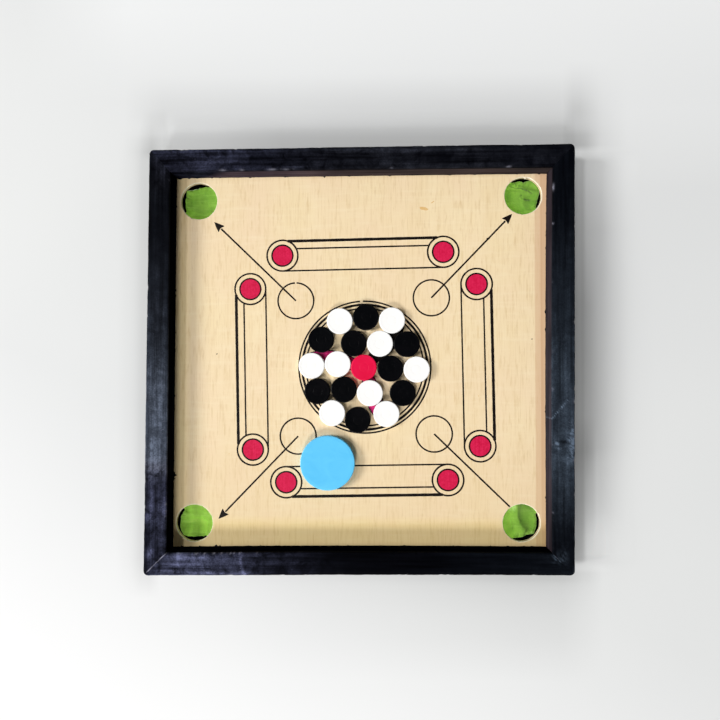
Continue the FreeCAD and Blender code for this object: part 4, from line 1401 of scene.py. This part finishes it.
def discs():
    man_r, striker_r = 9.5, 19.9
    man = disc_profile(             # radius, height, rounding
        [(0, .08, 0), (3.1, .08, .12), (3.25, .115, .08), (3.5, .115, .08), (3.65, .08, .12),
         (7.3, .08, .6), (8.3, 0, .6), (man_r, 0, .55)],
        [(man_r, 1.9, 0), (man_r - .06, 2.1, .15), (man_r, 2.3, 0)],
        thickness=4.2, relief=1, steps=4)
    striker = disc_profile(
        [(0, .05, 0), (16.2, .05, .4), (17.2, 0, .4), (striker_r, 0, .7)],
        [(striker_r, 2.3, 0), (striker_r, 2.9, 0)], thickness=5.2, relief=.6, steps=6)
    looks = {"white": (WHITE, "man_white"), "black": (BLACK, "man_black"),
             "queen": (RED, "queen_red")}
    men = sorted(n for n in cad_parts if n.startswith(("white_man", "black_man")))
    for k, node in enumerate(men + ["queen"]):
        lathe(node, man, *looks[node.split("_")[0]], sides=112, turn=.37 * k)
    lathe("striker", striker, BLUE, "striker_blue", sides=176)


discs()


# ------------------------------------------------------------------ fasteners
def corner_nails():
    """Two wire nails at each corner, their hammered heads left flush in the side faces."""
    head, tip = .10, 30.0           # how deep the head's middle and the point lie
    profile = [                     # depth in from the side face, radius
        (.07, .55), (0, 1), (.04, 1.35), (.16, 1.54), (.38, 1.6), (.62, 1.56), (.78, 1.38),
        (.84, 1), (1.1, .82), (2, .8), (8, .8), (16, .8), (24, .8), (28, .79), (29.2, .45),
        (29.9, .06)]
    sides, rows = 28, len(profile)
    verts, faces = [], []
    places = [(sx, sy, z) for sx in (1, -1) for sy in (1, -1) for z in (6, 18)]
    for k, (sx, sy, z) in enumerate(places):
        rs = np.random.RandomState(300 + k)
        tilt, dent, lean = rs.uniform(0, 6.28), rs.uniform(0, 6.28), rs.uniform(.02, .06)
        y = sy * (FRAME_HALF - 8)
        base = len(verts)
        for depth, r in profile:
            for j in range(sides):
                a = 2 * math.pi * j / sides
                spread = .05 * max(math.cos(a - dent), 0) ** 2 * (depth < .9)
                wide = r * (1 + spread)
                deep = depth + (lean * math.cos(a - tilt) * r / 1.6 if depth < .3 else 0)
                verts.append((sx * (FRAME_HALF - deep), y + wide * math.cos(a),
                              z + wide * math.sin(a)))
        faces += bridge(base, rows, sides)
        verts += [(sx * (FRAME_HALF - head), y, z), (sx * (FRAME_HALF - tip), y, z)]
        last = base + (rows - 1) * sides
        for j in range(sides):
            after = (j + 1) % sides
            faces += [(len(verts) - 2, base + after, base + j),
                      (len(verts) - 1, last + j, last + after)]
    ob = piece("corner_nails", out_of_true(verts), faces, STEEL,
               replaces="corner_nails")
    face_outward(ob, sharp_degrees=50)


corner_nails()

# pins and staples keep their CAD shape
for node in ("board_pins", "pocket_staples"):
    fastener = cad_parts[node]
    fastener.data.materials.clear()
    fastener.data.materials.append(STEEL)
    for material_slot in fastener.material_slots:
        material_slot.material = STEEL


# ------------------------------------------------------------------ floor
def floor_material():
    """A pale table with the soft gloom of the board painted round it."""
    m = Shader("floor_grey")
    soft = m.noise(3, detail=2, rough=.5)
    x, y, _ = m.axes()
    half = FRAME_HALF * MM

    def level(value, *knots):
        """A level given at a few places in millimetres along a value."""
        start, stop = knots[0][0], knots[-1][0]
        stops = [((at - start) / (stop - start), grey(amount)) for at, amount in knots]
        return m.ramp(m.remap(value, (start * MM, stop * MM)), stops)

    def beyond(value, sign):
        """How far outside the frame."""
        return m.math("SUBTRACT", m.times(value, sign), half)

    def beside(value):
        return m.remap(m.math("ABSOLUTE", value), (half, half + .03), to=(1, 0))

    in_x, in_y = beside(x), beside(y)
    right = m.times(
        level(beyond(x, 1), (0, 0), (8, .39), (12.2, .35), (14.5, .31), (19, .38), (21.4, .33),
              (23.7, .25), (26, .17), (28.3, .09), (30.6, .052), (44, .06), (51, .03), (70, 0)),
        in_y, level(y, (-150, .12), (-90, .22), (-50, .9), (0, 1), (40, 1), (90, .5), (150, .3)))
    back = m.times(
        level(beyond(y, 1), (0, 0), (8, .20), (17.6, .165), (22.2, .075), (26.8, .072),
              (31.4, .126), (36, .163), (40.6, .165), (45.2, .141), (49.8, .113), (54.4, .085),
              (59, .057), (63.5, .03), (68, .012), (85, 0)),
        in_x, m.remap(x, (-.14, 0), to=(.7, 1)))
    left = m.times(
        level(beyond(x, -1), (0, 0), (8, .22), (15.4, .18), (18.5, .118), (21.5, .074),
              (24.6, .046), (27.7, .033), (34, 0)), in_y)
    front = m.times(
        level(beyond(y, -1), (0, 0), (8, .16), (12.7, .143), (15.7, .11), (18.8, .092),
              (24.9, .075), (31, .068), (40, .056), (58, .044), (90, 0)),
        in_x, level(x, (-150, .12), (-108, .3), (0, 1), (114, 1), (150, 1)),
        m.remap(x, (0, .12), to=(1, 1.85)))
    # where the gloom deepens by the right rail's front half and runs past the back corners
    right_front = m.times(
        level(beyond(x, 1), (0, 0), (4, .24), (19, .24), (23, .15), (26.5, 0)),
        level(y, (-150, 0), (-142, .3), (-133, .45), (-124, .65), (-106, .9), (-90, 1),
              (-70, 1), (-60, .6), (-50, .2), (-42, 0)))
    back_right = m.times(
        level(beyond(x, 1), (2, 0), (10, .25), (15, .29), (20, .25), (26, .19), (33, .11),
              (41, .05), (51, 0)),
        level(beyond(y, 1), (5, 0), (10, 1), (18, 1), (24, .85), (36, .68), (42, .55), (48, .4),
              (60, .2), (75, 0)))
    back_left = m.times(
        level(x, (-170, 0), (-161, .09), (-151, .09), (-147, 0)),
        level(beyond(y, 1), (2, 0), (8, 1), (28, 1), (36, .5), (42, 0)))
    shade = m.plus(m.plus(right, back), m.plus(left, front), clamp=True)
    shade = m.plus(shade, m.plus(right_front, m.plus(back_right, back_left)), clamp=True)
    # where it thins out: right of the front, right of the back, behind the left
    thin = m.plus(
        m.times(
            level(beyond(x, 1), (0, 0), (11, .06), (15, .2), (19, .42), (26, .48), (31, .4),
                  (35.5, .25), (40, .15), (44.5, .08), (49, .03), (53, 0)),
            level(y, (-160, 0), (-152, .35), (-146, .95), (-133, .95), (-124, .8), (-115, .55),
                  (-106, .42), (-97, .33), (-87, .25), (-78, .2), (-66, 0))),
        m.times(
            level(beyond(x, 1), (0, 0), (8, .10), (16, .15), (31, .17), (39, .1), (51, .05),
                  (61, 0)),
            level(y, (98, 0), (110, .3), (122, .5), (130, .8), (140, 1), (148, 1), (153, .5),
                  (157, 0))),
        m.times(
            level(beyond(y, 1), (0, 0), (6, .17), (11, .17), (24, .16), (29, .05), (33, 0)),
            level(x, (-149, 0), (-144, 1), (-130, .95), (-110, .8), (-95, .5), (-80, .3),
                  (-60, 0))))
    # painted light: the table made paler towards the front and at the back left
    plain = m.mix(m.remap(soft, (.3, .7)), srgb(221, 223, 224), srgb(227, 229, 229))
    painted_light_slope = m.plus(m.times(x, -.4), m.times(y, -.9))
    plain = m.mix(m.remap(painted_light_slope, (.10, .34)), plain, srgb(243, 244, 245))
    plain = m.mix(m.times(m.remap(y, (.13, .19)), m.remap(x, (-.19, -.05), to=(.25, 1))),
                  plain, srgb(230, 232, 233))
    plain = m.mix(m.times(m.remap(y, (.20, .27)), m.remap(x, (-.26, -.18))),
                  plain, srgb(236, 238, 239))
    shaded = m.mix(shade, plain, grey(0))
    return m.finish(Base_Color=m.mix(1, shaded, m.plus(thin, 1), "MULTIPLY"),
                    Roughness=.6, Specular_IOR_Level=.2)


def floor():
    mesh = bpy.data.meshes.new("floor")
    half, z = 3.0, -.0003           # metres
    corners = ((-1, -1), (1, -1), (1, 1), (-1, 1))
    mesh.from_pydata([(sx * half, sy * half, z) for sx, sy in corners], [], [(0, 1, 2, 3)])
    mesh.materials.append(floor_material())
    ob = bpy.data.objects.new("floor", mesh)
    SCENE.collection.objects.link(ob)


floor()


# ------------------------------------------------------------------ light and camera
def lamp(name, azimuth, elevation, radius, share):
    """A round studio light given by its direction, angular radius and share of the light."""
    all_light, distance = 1.065, 7.0
    az, el = math.radians(azimuth), math.radians(elevation)
    where = Vector((distance * math.cos(az) * math.cos(el),
                    distance * math.sin(az) * math.cos(el), distance * math.sin(el)))
    light = bpy.data.lights.new(name, "AREA")
    light.shape = "DISK"
    light.size = 2 * distance * math.tan(math.radians(radius))
    light.energy = all_light * share * math.pi * math.pi * distance * distance / math.sin(el)
    light.color = (1, .99, .98)
    ob = bpy.data.objects.new(name, light)
    ob.location = where
    ob.rotation_mode = "QUATERNION"
    ob.rotation_quaternion = (-where).to_track_quat("-Z", "Y")
    SCENE.collection.objects.link(ob)


def studio_world():
    """A dim surround, brighter below than above."""
    world = bpy.data.worlds.new("studio")
    world.use_nodes = True
    nodes, links = world.node_tree.nodes, world.node_tree.links
    background = nodes["Background"]
    place = nodes.new("ShaderNodeTexCoord")
    axes = nodes.new("ShaderNodeSeparateXYZ")
    ramp = nodes.new("ShaderNodeValToRGB")
    middle = [(at, (v * 1.01, v, v * .97, 1))
              for at, v in ((.28, .38), (.42, .24), (.60, .09), (.90, .05))]
    fill_ramp(ramp, [(0, (.40, .40, .39, 1)), *middle, (1, (.05, .05, .052, 1))])
    links.new(place.outputs["Generated"], axes.inputs[0])
    links.new(axes.outputs["Z"], ramp.inputs["Fac"])
    links.new(ramp.outputs["Color"], background.inputs["Color"])
    background.inputs["Strength"].default_value = 1.02
    SCENE.world = world


def camera():
    """Looking almost straight down from above the middle."""
    data = bpy.data.cameras.new("camera")
    data.sensor_fit = "HORIZONTAL"
    data.sensor_width = 36.0
    data.lens = 25.4687985
    data.clip_start, data.clip_end = .01, 20.0
    ob = bpy.data.objects.new("camera", data)
    SCENE.collection.objects.link(ob)
    lean = Vector((-.01441, -.02314, .00016))      # world to camera, as axis times radians
    to_camera = Matrix.Rotation(lean.length, 3, lean.normalized())
    placing = to_camera.transposed().to_4x4()
    placing.translation = Vector((9.68171, -6.0221, 387.71171)) * MM
    ob.matrix_world = placing
    SCENE.camera = ob


for name, azimuth, elevation, radius, share, _ in LAMPS:
    lamp(name, azimuth, elevation, radius, share)
studio_world()
SCENE.view_settings.view_transform = "Standard"
SCENE.view_settings.look = "None"
SCENE.view_settings.exposure = 0.0
SCENE.view_settings.gamma = 1.0
camera()
